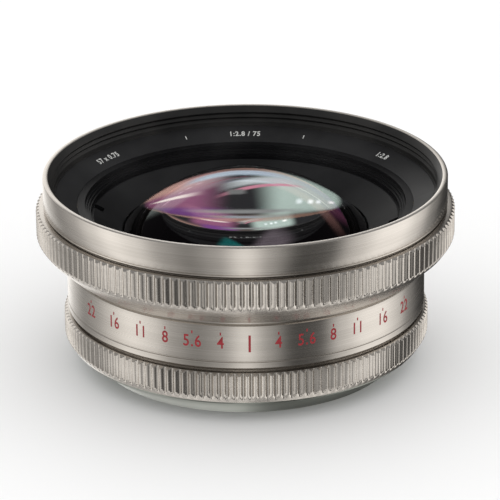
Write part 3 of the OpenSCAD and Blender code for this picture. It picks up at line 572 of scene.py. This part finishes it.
@dataclass
class Figures:
    """Generic figures and ticks that are engraved in a ring and filled with paint."""

    name: str
    radius: float
    height: float
    size: float
    slope: float = 0.0
    narrow: float = 0.82
    proud: float = 0.012
    weight: float = 0.03
    reading: Reading = Reading.OUTSIDE

    def wrap(self, piece: bpy.types.Object, bearing: float) -> None:
        """Lays a flat piece on the ring, centred at a bearing in degrees from the front.

        Args:
            piece: flat piece, X along the ring and Y up it, in metres about the origin.
            bearing: where its middle goes, positive to the right as seen from the front.
        """
        lean = math.radians(self.slope)
        side = 1 if self.reading is Reading.OUTSIDE else -1
        for point in piece.data.vertices:
            along, up, lift = point.co
            out = self.radius * MM + up * math.sin(lean) + side * lift * math.cos(lean)
            height = self.height * MM + up * math.cos(lean) - side * lift * math.sin(lean)
            angle = math.radians(bearing) + side * along / (self.radius * MM)
            point.co = (out * math.sin(angle), -out * math.cos(angle), height)
        piece.data.update()

    def figure(self, words: str, bearing: float) -> bpy.types.Object:
        """Makes one number and lays it on the ring.

        Args:
            words: the number.
            bearing: where its middle goes, in degrees.

        Returns:
            The number as a mesh.
        """
        clear_selection()
        bpy.ops.object.text_add(location=(0, 0, 0))
        piece = bpy.context.object
        piece.data.body = words
        piece.data.size = self.size * MM / 0.73
        piece.data.extrude = self.proud * MM
        piece.data.offset = self.weight * MM
        piece.data.resolution_u = 3
        piece.data.align_x, piece.data.align_y = "CENTER", "CENTER"
        piece.data.space_character = 1.12
        bpy.ops.object.convert(target="MESH")
        piece.scale = (self.narrow, 1, 1)
        bpy.ops.object.transform_apply(scale=True)
        self.wrap(piece, bearing)
        return piece

    def tick(self, bearing: float, up: float, length: float, width: float) -> bpy.types.Object:
        """Makes one tick and lays it on the ring.

        Args:
            bearing: its bearing in degrees.
            up: height of its middle over the figures' middle, in millimetres.
            length: length in millimetres.
            width: width in millimetres.

        Returns:
            The tick as a mesh with chamfered edges.
        """
        clear_selection()
        bpy.ops.mesh.primitive_cube_add(size=1, location=(0, up * MM, 0))
        piece = bpy.context.object
        piece.scale = (width * MM, length * MM, 2 * self.proud * MM)
        bpy.ops.object.transform_apply(location=True, scale=True)
        ease_edges(piece, 0.008, 1)
        self.wrap(piece, bearing)
        return piece

    def join(self, pieces: list[bpy.types.Object]) -> bpy.types.Object:
        """Joins figures and ticks in one piece named for the ring."""
        clear_selection()
        for piece in pieces:
            piece.select_set(True)
        bpy.context.view_layer.objects.active = pieces[0]
        bpy.ops.object.join()
        whole = bpy.context.object
        whole.name = whole.data.name = self.name
        return whole


# ---- Sub-assemblies ----


@dataclass
class FocusingRing:
    """The upper knurled ring that the hand turns to focus."""

    teeth: int = 148
    knurl_depth: float = 0.42
    neck_r: float = 25.97
    undercut_r: float = 27.3
    undercut_h: float = 0.2
    chamfer: float = 0.75
    chamfer_low: float = 2.7
    shoulder_low: float = 3.8
    top_bevel_w: float = 0.45
    top_bevel_h: float = 0.3
    recess_w: float = 0.52
    flange_top: float = 1.48
    edge: float = 0.045

    def build(self) -> bpy.types.Object:
        """Turns the ring and cuts its knurl."""
        radius, low, high = span("focus_ring")
        keeper_room = span("focus_keeper_ring")[0] + FREE_GAP
        seat, seat_low, seat_high = span("helicoid_ring")
        seat += SEAT_GAP
        recess_r = span("front_ring")[0] - self.recess_w
        floor = radius - self.knurl_depth
        half = radius - self.knurl_depth / 2
        shoulder_low = low + self.shoulder_low
        shoulder_high = high - self.top_bevel_h
        reach = (self.shoulder_low - self.chamfer_low) / self.chamfer
        top_reach = self.top_bevel_h / self.top_bevel_w
        outline = [
            (self.neck_r, low + self.undercut_h), (self.undercut_r, low),
            (radius - self.chamfer, low + self.chamfer_low),
            (floor, shoulder_low - self.knurl_depth * reach),
            (half, shoulder_low - self.knurl_depth / 2 * reach), (radius, shoulder_low),
            (radius, shoulder_high), (half, shoulder_high + self.knurl_depth / 2 * top_reach),
            (floor, shoulder_high + self.knurl_depth * top_reach), (radius - self.top_bevel_w, high),
            (recess_r, high), (recess_r, seat_high), (seat, seat_high), (seat, seat_low),
            (keeper_room, seat_low), (keeper_room, low + self.flange_top),
            (self.neck_r, low + self.flange_top)]
        ring = turn("focusing_grip", outline, self.teeth * COLUMNS)
        cut_knurl(ring, radius, floor, self.teeth)
        ease_edges(ring, self.edge, 1, 24)
        smooth(ring, 24)
        return place_piece(ring, NICKEL, Body.FOCUS, Slot.NICKEL, "focus_ring")


@dataclass
class StopRing:
    """The lower knurled ring that sets the iris."""

    teeth: int = 144
    knurl_depth: float = 0.42
    bore: float = 24.57
    collar_w: float = 1.2
    collar_h: float = 0.25
    cone_w: float = 0.8
    cone_h: float = 1.25
    top_bevel_w: float = 0.45
    top_bevel_h: float = 0.32
    edge: float = 0.045

    def build(self) -> bpy.types.Object:
        """Turns the ring and cuts its knurl."""
        radius, low, high = span("aperture_ring")
        collar_r = self.bore + self.collar_w
        floor = radius - self.knurl_depth
        half = radius - self.knurl_depth / 2
        shoulder_low = low + self.cone_h
        edge_top = high - self.collar_h
        shoulder_high = edge_top - self.top_bevel_h
        low_reach = self.cone_h / self.cone_w
        high_reach = self.top_bevel_h / self.top_bevel_w
        outline = [
            (self.bore, low), (radius - self.cone_w, low),
            (floor, shoulder_low - self.knurl_depth * low_reach),
            (half, shoulder_low - self.knurl_depth / 2 * low_reach), (radius, shoulder_low),
            (radius, shoulder_high), (half, shoulder_high + self.knurl_depth / 2 * high_reach),
            (floor, shoulder_high + self.knurl_depth * high_reach), (radius - self.top_bevel_w, edge_top),
            (collar_r, edge_top), (collar_r, high), (self.bore, high)]
        ring = turn("stop_grip", outline, self.teeth * COLUMNS)
        cut_knurl(ring, radius, floor, self.teeth)
        ease_edges(ring, self.edge, 1, 24)
        smooth(ring, 24)
        return place_piece(ring, NICKEL, Body.STOP, Slot.NICKEL, "aperture_ring")


@dataclass
class FrontRing:
    """The smooth ring at the front, with its filter thread and the sloping name ring."""

    segments: int = 256
    thread_pitch: float = 0.75
    thread_depth: float = 0.3
    edge: float = 0.05
    bare_edge: float = 0.55
    spigot_w: float = 0.67
    spigot_h: float = 0.68
    wall: float = 1.57
    mouth: float = 0.8
    flange_w: float = 1.3
    # Bead and groove, each point as its distance in from the rim and up from the ring's foot
    bead: tuple[Point, ...] = ((0.3, 0.0), (0.16, 0.1), (0.16, 0.32), (0.26, 0.36), (0.26, 0.42), (0.0, 0.5))
    # Rounded crown, each point as its distance in from the rim and down from the top
    crown: tuple[Point, ...] = ((0.0, 0.22), (0.07, 0.06), (0.24, 0.0))

    def thread(self, radius: float, low: float, high: float) -> list[Point]:
        """Outline of a thread in a bore, from its top down.

        Args:
            radius: radius at the crests.
            low: height of its lowest turn.
            high: height of its highest turn.

        Returns:
            The (radius, height) points.
        """
        turns = int((high - low) / self.thread_pitch)
        points: list[Point] = []
        for index in range(turns):
            top = high - index * self.thread_pitch
            points += [(radius, top), (radius + self.thread_depth, top - self.thread_pitch * 0.45),
                       (radius + self.thread_depth, top - self.thread_pitch * 0.55)]
        return points + [(radius, high - turns * self.thread_pitch)]

    def build(self) -> bpy.types.Object:
        """Turns the front ring."""
        radius, low, high = span("front_ring")
        sleeve = span("helicoid_sleeve")
        name_r, name_low, name_high = span("name_ring")
        rim_z = low + self.spigot_h
        filter_r = radius - self.wall
        seat = name_r + RUNNING_GAP
        flange_in_r = sleeve[0] - self.flange_w
        flange_r = sleeve[0] + RUNNING_GAP
        flange_z = sleeve[2] + FIT / 2
        outline = [(radius - self.spigot_w, low), (radius - self.spigot_w, rim_z)]
        outline += [(radius - inset, rim_z + up) for inset, up in self.bead]
        outline += [(radius - inset, high - down) for inset, down in self.crown]
        outline += [(filter_r + self.mouth + 0.06, high), (filter_r + self.mouth - 0.02, high - 0.04),
                    (filter_r, high - self.mouth)]
        outline += self.thread(filter_r, name_high + 0.12, high - self.mouth - 0.06)
        outline += [(filter_r, name_high), (seat, name_high), (seat, name_high - 0.6),
                    (flange_in_r, name_low + FIT), (flange_in_r, flange_z), (flange_r, flange_z),
                    (flange_r, low)]
        ring = turn("front_rim", outline, self.segments)
        ease_edges(ring, self.edge)
        smooth(ring)
        place_piece(ring, NICKEL, Body.FRONT, Slot.NICKEL, "front_ring")
        self.blacken(ring, filter_r + self.bare_edge, name_low)
        return ring

    def blacken(self, ring: bpy.types.Object, radius: float, low: float) -> None:
        """Blackens the inner wall, the thread and the seat inside a radius and above a height."""
        ring.data.materials.append(FINISHES.of(WALL_BLACK))
        for face in ring.data.polygons:
            inside = math.hypot(face.center.x, face.center.y) < radius * MM
            face.material_index = int(inside and face.center.z > low * MM)


@dataclass
class MountRing:
    """The rear ring that the lens stands on, with its female thread and countersunk holes."""

    segments: int = 240
    bore_r: float = 20.45
    bore_h: float = 2.9
    pitch: float = 1.0
    depth: float = 0.5
    base_r: float = 22.3
    ledge_r: float = 20.83
    screw_count: int = 4
    head_r: float = 0.79
    head_h: float = 0.52
    sink: float = 0.01
    sink_ratio: float = 0.62
    first_screw: int = 45
    top_bevel: float = 0.25
    foot_w: float = 0.5
    foot_h: float = 0.67
    base_bevel: float = 0.1

    def thread(self) -> list[Point]:
        """Outline of the thread in the bore, from its mouth up."""
        points = [(self.bore_r + 0.25, 0.0), (self.bore_r, 0.25)]
        low = 0.45
        while low + self.pitch * 0.8 < self.bore_h:
            points += [(self.bore_r, low), (self.bore_r + self.depth, low + self.pitch * 0.42),
                       (self.bore_r + self.depth, low + self.pitch * 0.5),
                       (self.bore_r, low + self.pitch * 0.92)]
            low += self.pitch
        return points

    def build(self) -> bpy.types.Object:
        """Turns the ring and sinks its screw holes."""
        radius, _, high = span("mount_ring")
        outline = self.thread() + [
            (self.bore_r, self.bore_h), (self.ledge_r, self.bore_h), (self.ledge_r, high), (radius, high),
            (radius, high - self.top_bevel), (self.base_r + self.foot_w, self.foot_h),
            (self.base_r, self.base_bevel), (self.base_r - self.base_bevel, 0.0)]
        ring = turn("rear_mount", outline, self.segments)
        ease_edges(ring, 0.03, 1)
        pitch_r = (self.bore_r + self.base_r) / 2
        for index in range(self.screw_count):
            angle = math.radians(self.first_screw + index * 360 / self.screw_count)
            height = (self.head_h / 2 - self.sink) * MM
            place = (pitch_r * math.cos(angle) * MM, pitch_r * math.sin(angle) * MM, height)
            clear_selection()
            bpy.ops.mesh.primitive_cone_add(
                vertices=32, radius1=self.head_r * MM, radius2=self.head_r * self.sink_ratio * MM,
                depth=self.head_h * MM, location=place)
            cut_away(ring, bpy.context.object)
        smooth(ring)
        return place_piece(ring, REAR_METAL, Body.BARREL, Slot.REAR, "mount_ring")


@dataclass
class Glasses:
    """The lens elements, ground and polished, each cemented pair as one block."""

    segments: int = 192
    steps: int = 28
    pole: float = 0.06
    front_dome: float = 24.0
    front_hollow: float = 45.0
    front_rim: float = 2.4
    second_dome: float = 26.0
    iris_hollow: float = 80.0
    iris_hollow_edge: float = 11.0
    fifth_dome: float = 60.0
    sixth_dome: float = 90.0

    def dome(self, ball: float, top: float, reach_from: float, reach_to: float) -> list[Point]:
        """Points of a dome whose top stands at a height."""
        return arc(ball, top - ball, reach_from, reach_to, self.steps)

    def finish(self, name: str, outline: list[Point], edge: float, glass: Glass, slot: Slot,
               *nodes: str) -> bpy.types.Object:
        """Turns one block of glass, blackens its ground edge and ties it to the front unit.

        Args:
            name: name of the piece.
            outline: its outline from the axis at the back to the axis in front.
            edge: radius of its ground edge, in millimetres.
            glass: its finish.
            slot: the record's slot.
            nodes: the frame's nodes that it replaces.

        Returns:
            The piece.
        """
        block = turn_disc(name, outline, self.segments)
        smooth(block, 25)
        place_piece(block, glass, Body.FRONT, slot, *nodes)
        block.data.materials.append(FINISHES.of(BLACK))
        for face in block.data.polygons:
            upright = abs(face.normal.z) < 0.1
            outside = math.hypot(face.center.x, face.center.y) > (edge - 0.1) * MM
            face.material_index = int(upright and outside)
        return block

    def build(self) -> None:
        """Makes the front glass, the two cemented pairs and the rear glass."""
        radius, low, high = span("front_element")
        flat = radius - self.front_rim
        hollow_top = low + sag(self.front_hollow, flat)
        outline = self.dome(self.front_hollow, hollow_top, self.pole, flat)
        outline += [(radius - 0.06, low), (radius, low + 0.06)]
        outline += self.dome(self.front_dome, high, radius, self.pole)
        self.finish("front_glass", outline, radius, FRONT_GLASS, Slot.COATED, "front_element")

        radius, _, high = span("second_element")
        low = span("third_element")[1]
        hollow_top = low + sag(self.iris_hollow, self.iris_hollow_edge)
        outline = self.dome(self.iris_hollow, hollow_top, self.pole, self.iris_hollow_edge)
        outline += [(radius - 0.05, low), (radius, low + 0.05)]
        outline += self.dome(self.second_dome, high, radius, self.pole)
        self.finish("front_pair", outline, radius, BACK_GLASS, Slot.CLEAR, "second_element", "third_element")

        radius, low, _ = span("fifth_element")
        high = span("fourth_element")[2]
        hollow_low = high - sag(self.iris_hollow, self.iris_hollow_edge)
        outline = arc(-self.fifth_dome, low + self.fifth_dome, self.pole, radius, self.steps)
        outline += [(radius, high - 0.05), (radius - 0.05, high)]
        outline += arc(-self.iris_hollow, hollow_low + self.iris_hollow, self.iris_hollow_edge, self.pole,
                       self.steps)
        self.finish("rear_pair", outline, radius, CLEAR_GLASS, Slot.CLEAR, "fourth_element", "fifth_element")

        radius, low, high = span("sixth_element")
        outline = [(self.pole, low), (radius - 0.04, low), (radius, low + 0.04)]
        outline += self.dome(self.sixth_dome, high, radius, self.pole)
        self.finish("rear_glass", outline, radius, BACK_GLASS, Slot.CLEAR, "sixth_element")


@dataclass
class StopScale:
    """Depth-of-field scale on the barrel's band: paired stop numbers about an index, in red."""

    height: float = 12.7
    size: float = 1.85
    index_bearing: float = 1.0
    mark_up: float = 1.45
    mark_length: float = 0.45
    mark_width: float = 0.2
    index_length: float = 2.6
    index_width: float = 0.34

    def build(self) -> bpy.types.Object:
        """Engraves the figures and their ticks."""
        scale = Figures("stop_scale", radius=span("barrel")[0], height=self.height, size=self.size)
        pairs = (("4", 9), ("5.6", 18), ("8", 27), ("11", 36), ("16", 47), ("22", 59))
        pieces = [scale.tick(self.index_bearing, 0.0, self.index_length, self.index_width)]
        for number, bearing in pairs:
            for side in (-1, 1):
                at = self.index_bearing + side * bearing
                pieces.append(scale.figure(number, at))
                pieces.append(scale.tick(at, self.mark_up, self.mark_length, self.mark_width))
        return place_piece(scale.join(pieces), RED_INK, Body.BARREL, Slot.NICKEL)


@dataclass
class NameRingFigures:
    """Small white figures on the sloping ring: speed, focal length and thread as plain numbers."""

    size: float = 1.0
    ring_t: float = 0.23
    mark_length: float = 0.7
    mark_width: float = 0.14

    def build(self) -> bpy.types.Object:
        """Engraves the figures round the ring."""
        outer, low, high = span("name_ring")
        inner = span("baffle_ring")[0]
        drop = high - low - self.ring_t
        slope = math.degrees(math.atan2(outer - inner, drop))
        ring = Figures("ring_figures", radius=(inner + outer) / 2, height=high - drop / 2, size=self.size,
                       slope=slope, proud=0.008, reading=Reading.FROM_FRONT)
        figures = (("1:2.8 / 75", 180), ("57 x 0.75", 232), ("1:2.8", 128), ("75", 285), ("57", 75))
        pieces = [ring.figure(words, bearing) for words, bearing in figures]
        pieces += [ring.tick(bearing, 0.0, self.mark_length, self.mark_width) for bearing in (160, 200)]
        return place_piece(ring.join(pieces), WHITE_INK, Body.FRONT, Slot.BLACK)


# ---- Studio ----


@dataclass(frozen=True)
class Panel:
    """A soft box of the light tent, given by where it hangs and how far it reaches."""

    bearing: float
    elevation: float
    half_wide: float
    half_high: float
    colour: Colour
    soft: float = 0.35
    tilt: float = 0.0


class LightTent:
    """The world: even light for matt surfaces, bands and soft boxes for what gleams."""

    BANDS = ((-180, 1.5), (-160, 1.4), (-144, 0.72), (-128, 0.34), (-112, 0.5), (-96, 0.95), (-80, 1.4),
             (-64, 1.1), (-48, 0.5), (-32, 0.3), (-16, 0.5), (0, 1.2), (14, 0.5), (30, 0.08), (48, 0.12),
             (64, 0.84), (82, 1.4), (98, 1.45), (112, 0.98), (128, 0.3), (146, 0.06), (167, 0.03), (178, 0.9))
    PANELS = (
        Panel(180, 6, 70, 6, (0.40, 0.23, 0.17), 0.5),
        Panel(148, 5, 30, 7, (0.66, 0.38, 0.31), 0.5),
        Panel(157, 24, 14, 9, (0.36, 0.13, 0.24), 0.4),
        Panel(150, 31, 15, 4, (0.80, 0.47, 0.40), 0.7),
        Panel(163, 13, 11, 4, (0.24, 0.08, 0.30), 0.4),
        Panel(158, 23, 8, 0.7, (1.2, 1.0, 0.95), 0.6, tilt=-3),
        Panel(-161, 23, 13, 10, (0.58, 0.70, 0.64), 0.3),
        Panel(177, 30.5, 10, 1.6, (0.54, 0.64, 0.76), 0.5),
        Panel(-176, 26.5, 7, 1.1, (0.66, 0.70, 0.72), 0.6, tilt=-14),
        Panel(-176, 24.5, 8, 0.45, (0.74, 0.30, 0.40), 0.5, tilt=-16),
        Panel(178, 22.5, 1.8, 0.7, (0.22, 0.22, 0.22), 0.5),
        Panel(-166.5, 20, 0.8, 1.0, (1.1, 1.2, 1.2), 0.8),
        Panel(-162.7, 20.2, 0.8, 1.0, (1.3, 1.4, 1.4), 0.8),
        Panel(-159.6, 20.4, 0.8, 1.0, (1.2, 1.3, 1.3), 0.8),
        Panel(-153, 21, 1.4, 1.0, (1.4, 1.4, 1.35), 0.8),
        Panel(180, 15.5, 12, 1.0, (0.34, 0.34, 0.34), 0.7),
        Panel(180, 11.5, 10, 1.0, (0.28, 0.28, 0.28), 0.7),
        Panel(60, 74, 17, 7, (1.2, 1.2, 1.25), 0.5),
        Panel(-40, 78, 9, 4, (0.06, 1.3, 1.1)),
    )
    GLASS_DARK = (0.030, 0.030, 0.032, 1)
    OVERHEAD = 0.32
    FLOOR_LIGHT = 1.26

    def __init__(self) -> None:
        """Starts an empty world."""
        self.world = bpy.data.worlds.new("light_tent")
        self.world.use_nodes = True
        self.tree = self.world.node_tree
        self.tree.nodes.clear()

    def maths(self, operation: str, *values: float | Socket) -> Socket:
        """A Math node's result for values or sockets."""
        node = self.tree.nodes.new("ShaderNodeMath")
        node.operation = operation
        for index, value in enumerate(values):
            if isinstance(value, Socket):
                self.tree.links.new(value, node.inputs[index])
            else:
                node.inputs[index].default_value = value
        return node.outputs[0]

    def towards(self, direction: Socket, axis: Vector) -> Socket:
        """How far a direction points along an axis."""
        node = self.tree.nodes.new("ShaderNodeVectorMath")
        node.operation = "DOT_PRODUCT"
        self.tree.links.new(direction, node.inputs[0])
        node.inputs[1].default_value = axis
        return node.outputs["Value"]

    def mix(self, factor: Socket, first: tuple | Socket, second: tuple | Socket) -> Socket:
        """Mixes two colours, each a colour or a socket."""
        node = self.tree.nodes.new("ShaderNodeMix")
        node.data_type = "RGBA"
        for index, value in ((0, factor), (6, first), (7, second)):
            if isinstance(value, Socket):
                self.tree.links.new(value, node.inputs[index])
            else:
                node.inputs[index].default_value = value
        return node.outputs[2]

    def ramp(self, value: Socket, low: float, high: float) -> Socket:
        """Rises smoothly from 0 at low to 1 at high."""
        node = self.tree.nodes.new("ShaderNodeMapRange")
        node.interpolation_type = "SMOOTHSTEP"
        self.tree.links.new(value, node.inputs[0])
        for index, number in enumerate((low, high, 0.0, 1.0), start=1):
            node.inputs[index].default_value = number
        return node.outputs[0]

    def panel(self, direction: Socket, panel: Panel) -> Socket:
        """How much of a soft box is seen in a direction.

        Args:
            direction: the direction, a socket.
            panel: the soft box.

        Returns:
            A socket: 1 on the panel, falling to 0 past its edges.
        """
        bearing, elevation = math.radians(panel.bearing), math.radians(panel.elevation)
        ahead = Vector((math.sin(bearing) * math.cos(elevation), -math.cos(bearing) * math.cos(elevation),
                        math.sin(elevation)))
        across = Vector((math.cos(bearing), math.sin(bearing), 0))
        up = across.cross(ahead)
        lean = math.radians(panel.tilt)
        across, up = (across * math.cos(lean) + up * math.sin(lean),
                      up * math.cos(lean) - across * math.sin(lean))
        depth = self.maths("MAXIMUM", self.towards(direction, ahead), 0.05)
        seen = None
        for axis, half in ((across, panel.half_wide), (up, panel.half_high)):
            reach = self.maths("ABSOLUTE", self.maths("DIVIDE", self.towards(direction, axis), depth))
            share = self.maths("DIVIDE", reach, math.tan(math.radians(half)))
            side = self.maths("SUBTRACT", 1.0, self.ramp(share, 1 - panel.soft, 1 + panel.soft))
            seen = side if seen is None else self.maths("MULTIPLY", seen, side)
        return seen

    def bands(self, direction: Socket) -> Socket:
        """Bright and dark panels round the object, by bearing from the front."""
        split = self.tree.nodes.new("ShaderNodeSeparateXYZ")
        self.tree.links.new(direction, split.inputs[0])
        bearing = self.maths("ARCTAN2", split.outputs[0], self.maths("MULTIPLY", split.outputs[1], -1.0))
        share = self.maths("DIVIDE", self.maths("ADD", bearing, math.pi), 2 * math.pi)
        node = self.tree.nodes.new("ShaderNodeValToRGB")
        node.color_ramp.interpolation = "EASE"
        elements = node.color_ramp.elements
        for index, (angle, value) in enumerate(self.BANDS):
            position = (angle + 180) / 360
            stop = elements[index] if index < 2 else elements.new(position)
            stop.position = position
            stop.color = (value, value * 0.985, value * 0.96, 1)
        self.tree.links.new(share, node.inputs[0])
        overhead = self.ramp(split.outputs[2], 0.30, 0.62)
        dim = (self.OVERHEAD, self.OVERHEAD, self.OVERHEAD, 1)
        return self.mix(overhead, node.outputs[0], dim)

    def build(self) -> None:
        """Makes the world the scene's."""
        direction = self.tree.nodes.new("ShaderNodeTexCoord").outputs["Generated"]
        sharp = self.GLASS_DARK
        for panel in self.PANELS:
            sharp = self.mix(self.panel(direction, panel), sharp, (*panel.colour, 1))
        path = self.tree.nodes.new("ShaderNodeLightPath")
        gleam = self.mix(path.outputs["Is Singular Ray"], self.bands(direction), sharp)
        matt = self.maths("MAXIMUM", path.outputs["Is Camera Ray"], path.outputs["Is Diffuse Ray"])
        even = (self.FLOOR_LIGHT, self.FLOOR_LIGHT, self.FLOOR_LIGHT, 1)
        background = self.tree.nodes.new("ShaderNodeBackground")
        self.tree.links.new(self.mix(matt, gleam, even), background.inputs["Color"])
        output = self.tree.nodes.new("ShaderNodeOutputWorld")
        self.tree.links.new(background.outputs[0], output.inputs[0])
        bpy.context.scene.world = self.world


@dataclass
class Studio:
    """Pale floor, soft light and the camera."""

    distance: float = 545.6
    aim_height: float = 16.37
    elevation: float = 22.05
    pan: float = -0.0727
    roll: float = -0.42
    focal_length: float = 263.9
    floor_size: float = 6.0

    def camera(self) -> None:
        """Sets the camera up at its place."""
        data = bpy.data.cameras.new("camera")
        data.lens = self.focal_length
        data.sensor_width = 36.0
        data.clip_start, data.clip_end = 0.01, 20.0
        camera = bpy.data.objects.new("camera", data)
        bpy.context.scene.collection.objects.link(camera)
        tilt = math.radians(self.elevation)
        height = self.aim_height + self.distance * math.sin(tilt)
        place = Vector((0, -self.distance * math.cos(tilt), height)) * MM
        pan, roll = math.radians(self.pan), math.radians(self.roll)
        turned = (Matrix.Rotation(pan, 4, "Z") @ Matrix.Rotation(math.pi / 2 - tilt, 4, "X")
                  @ Matrix.Rotation(roll, 4, "Z"))
        camera.matrix_world = Matrix.Translation(place) @ turned
        bpy.context.scene.camera = camera

    def floor(self) -> None:
        """Lays the pale floor."""
        clear_selection()
        bpy.ops.mesh.primitive_plane_add(size=self.floor_size, location=(0, 0, -0.00002))
        floor = bpy.context.object
        floor.name = floor.data.name = "floor"
        sheet = Sheet("pale_floor")
        place = sheet.add("TexCoord").outputs["Object"]
        sheet.feed(sheet.shader, "Base Color", sheet.blend(sheet.noise(place, 3.0), (0.87, 0.87, 0.87),
                                                           (0.89, 0.89, 0.89)))
        sheet.shader.inputs["Roughness"].default_value = 0.7
        sheet.shader.inputs["Specular IOR Level"].default_value = 0.2
        floor.data.materials.append(sheet.material)
        floor.visible_glossy = False

    def light(self) -> None:
        """Lights the floor evenly and hangs banded panels and soft boxes for reflections only."""
        LightTent().build()

    def build(self) -> None:
        """Sets the whole studio up."""
        bpy.context.scene.view_settings.view_transform = "Standard"
        self.camera()
        self.floor()
        self.light()


def dress_frame() -> None:
    """Gives every node of the frame a finish by its slot in the record."""
    slots = {part["node"]: Slot(part["material_slot"]) for part in frame["record"]["subparts"]}
    for name, node in frame["nodes"].items():
        FINISHES.put(node, INNER_FINISHES[slots[name]])
    FINISHES.put(frame["nodes"]["name_ring"], NAME_BLACK)


def main() -> None:
    """Builds the sub-assemblies in order."""
    logging.basicConfig(level=logging.INFO, format="%(name)s: %(message)s")
    dress_frame()
    FocusingRing().build()
    StopRing().build()
    FrontRing().build()
    MountRing().build()
    Glasses().build()
    StopScale().build()
    NameRingFigures().build()
    Studio().build()


if __name__ == "__main__":
    main()
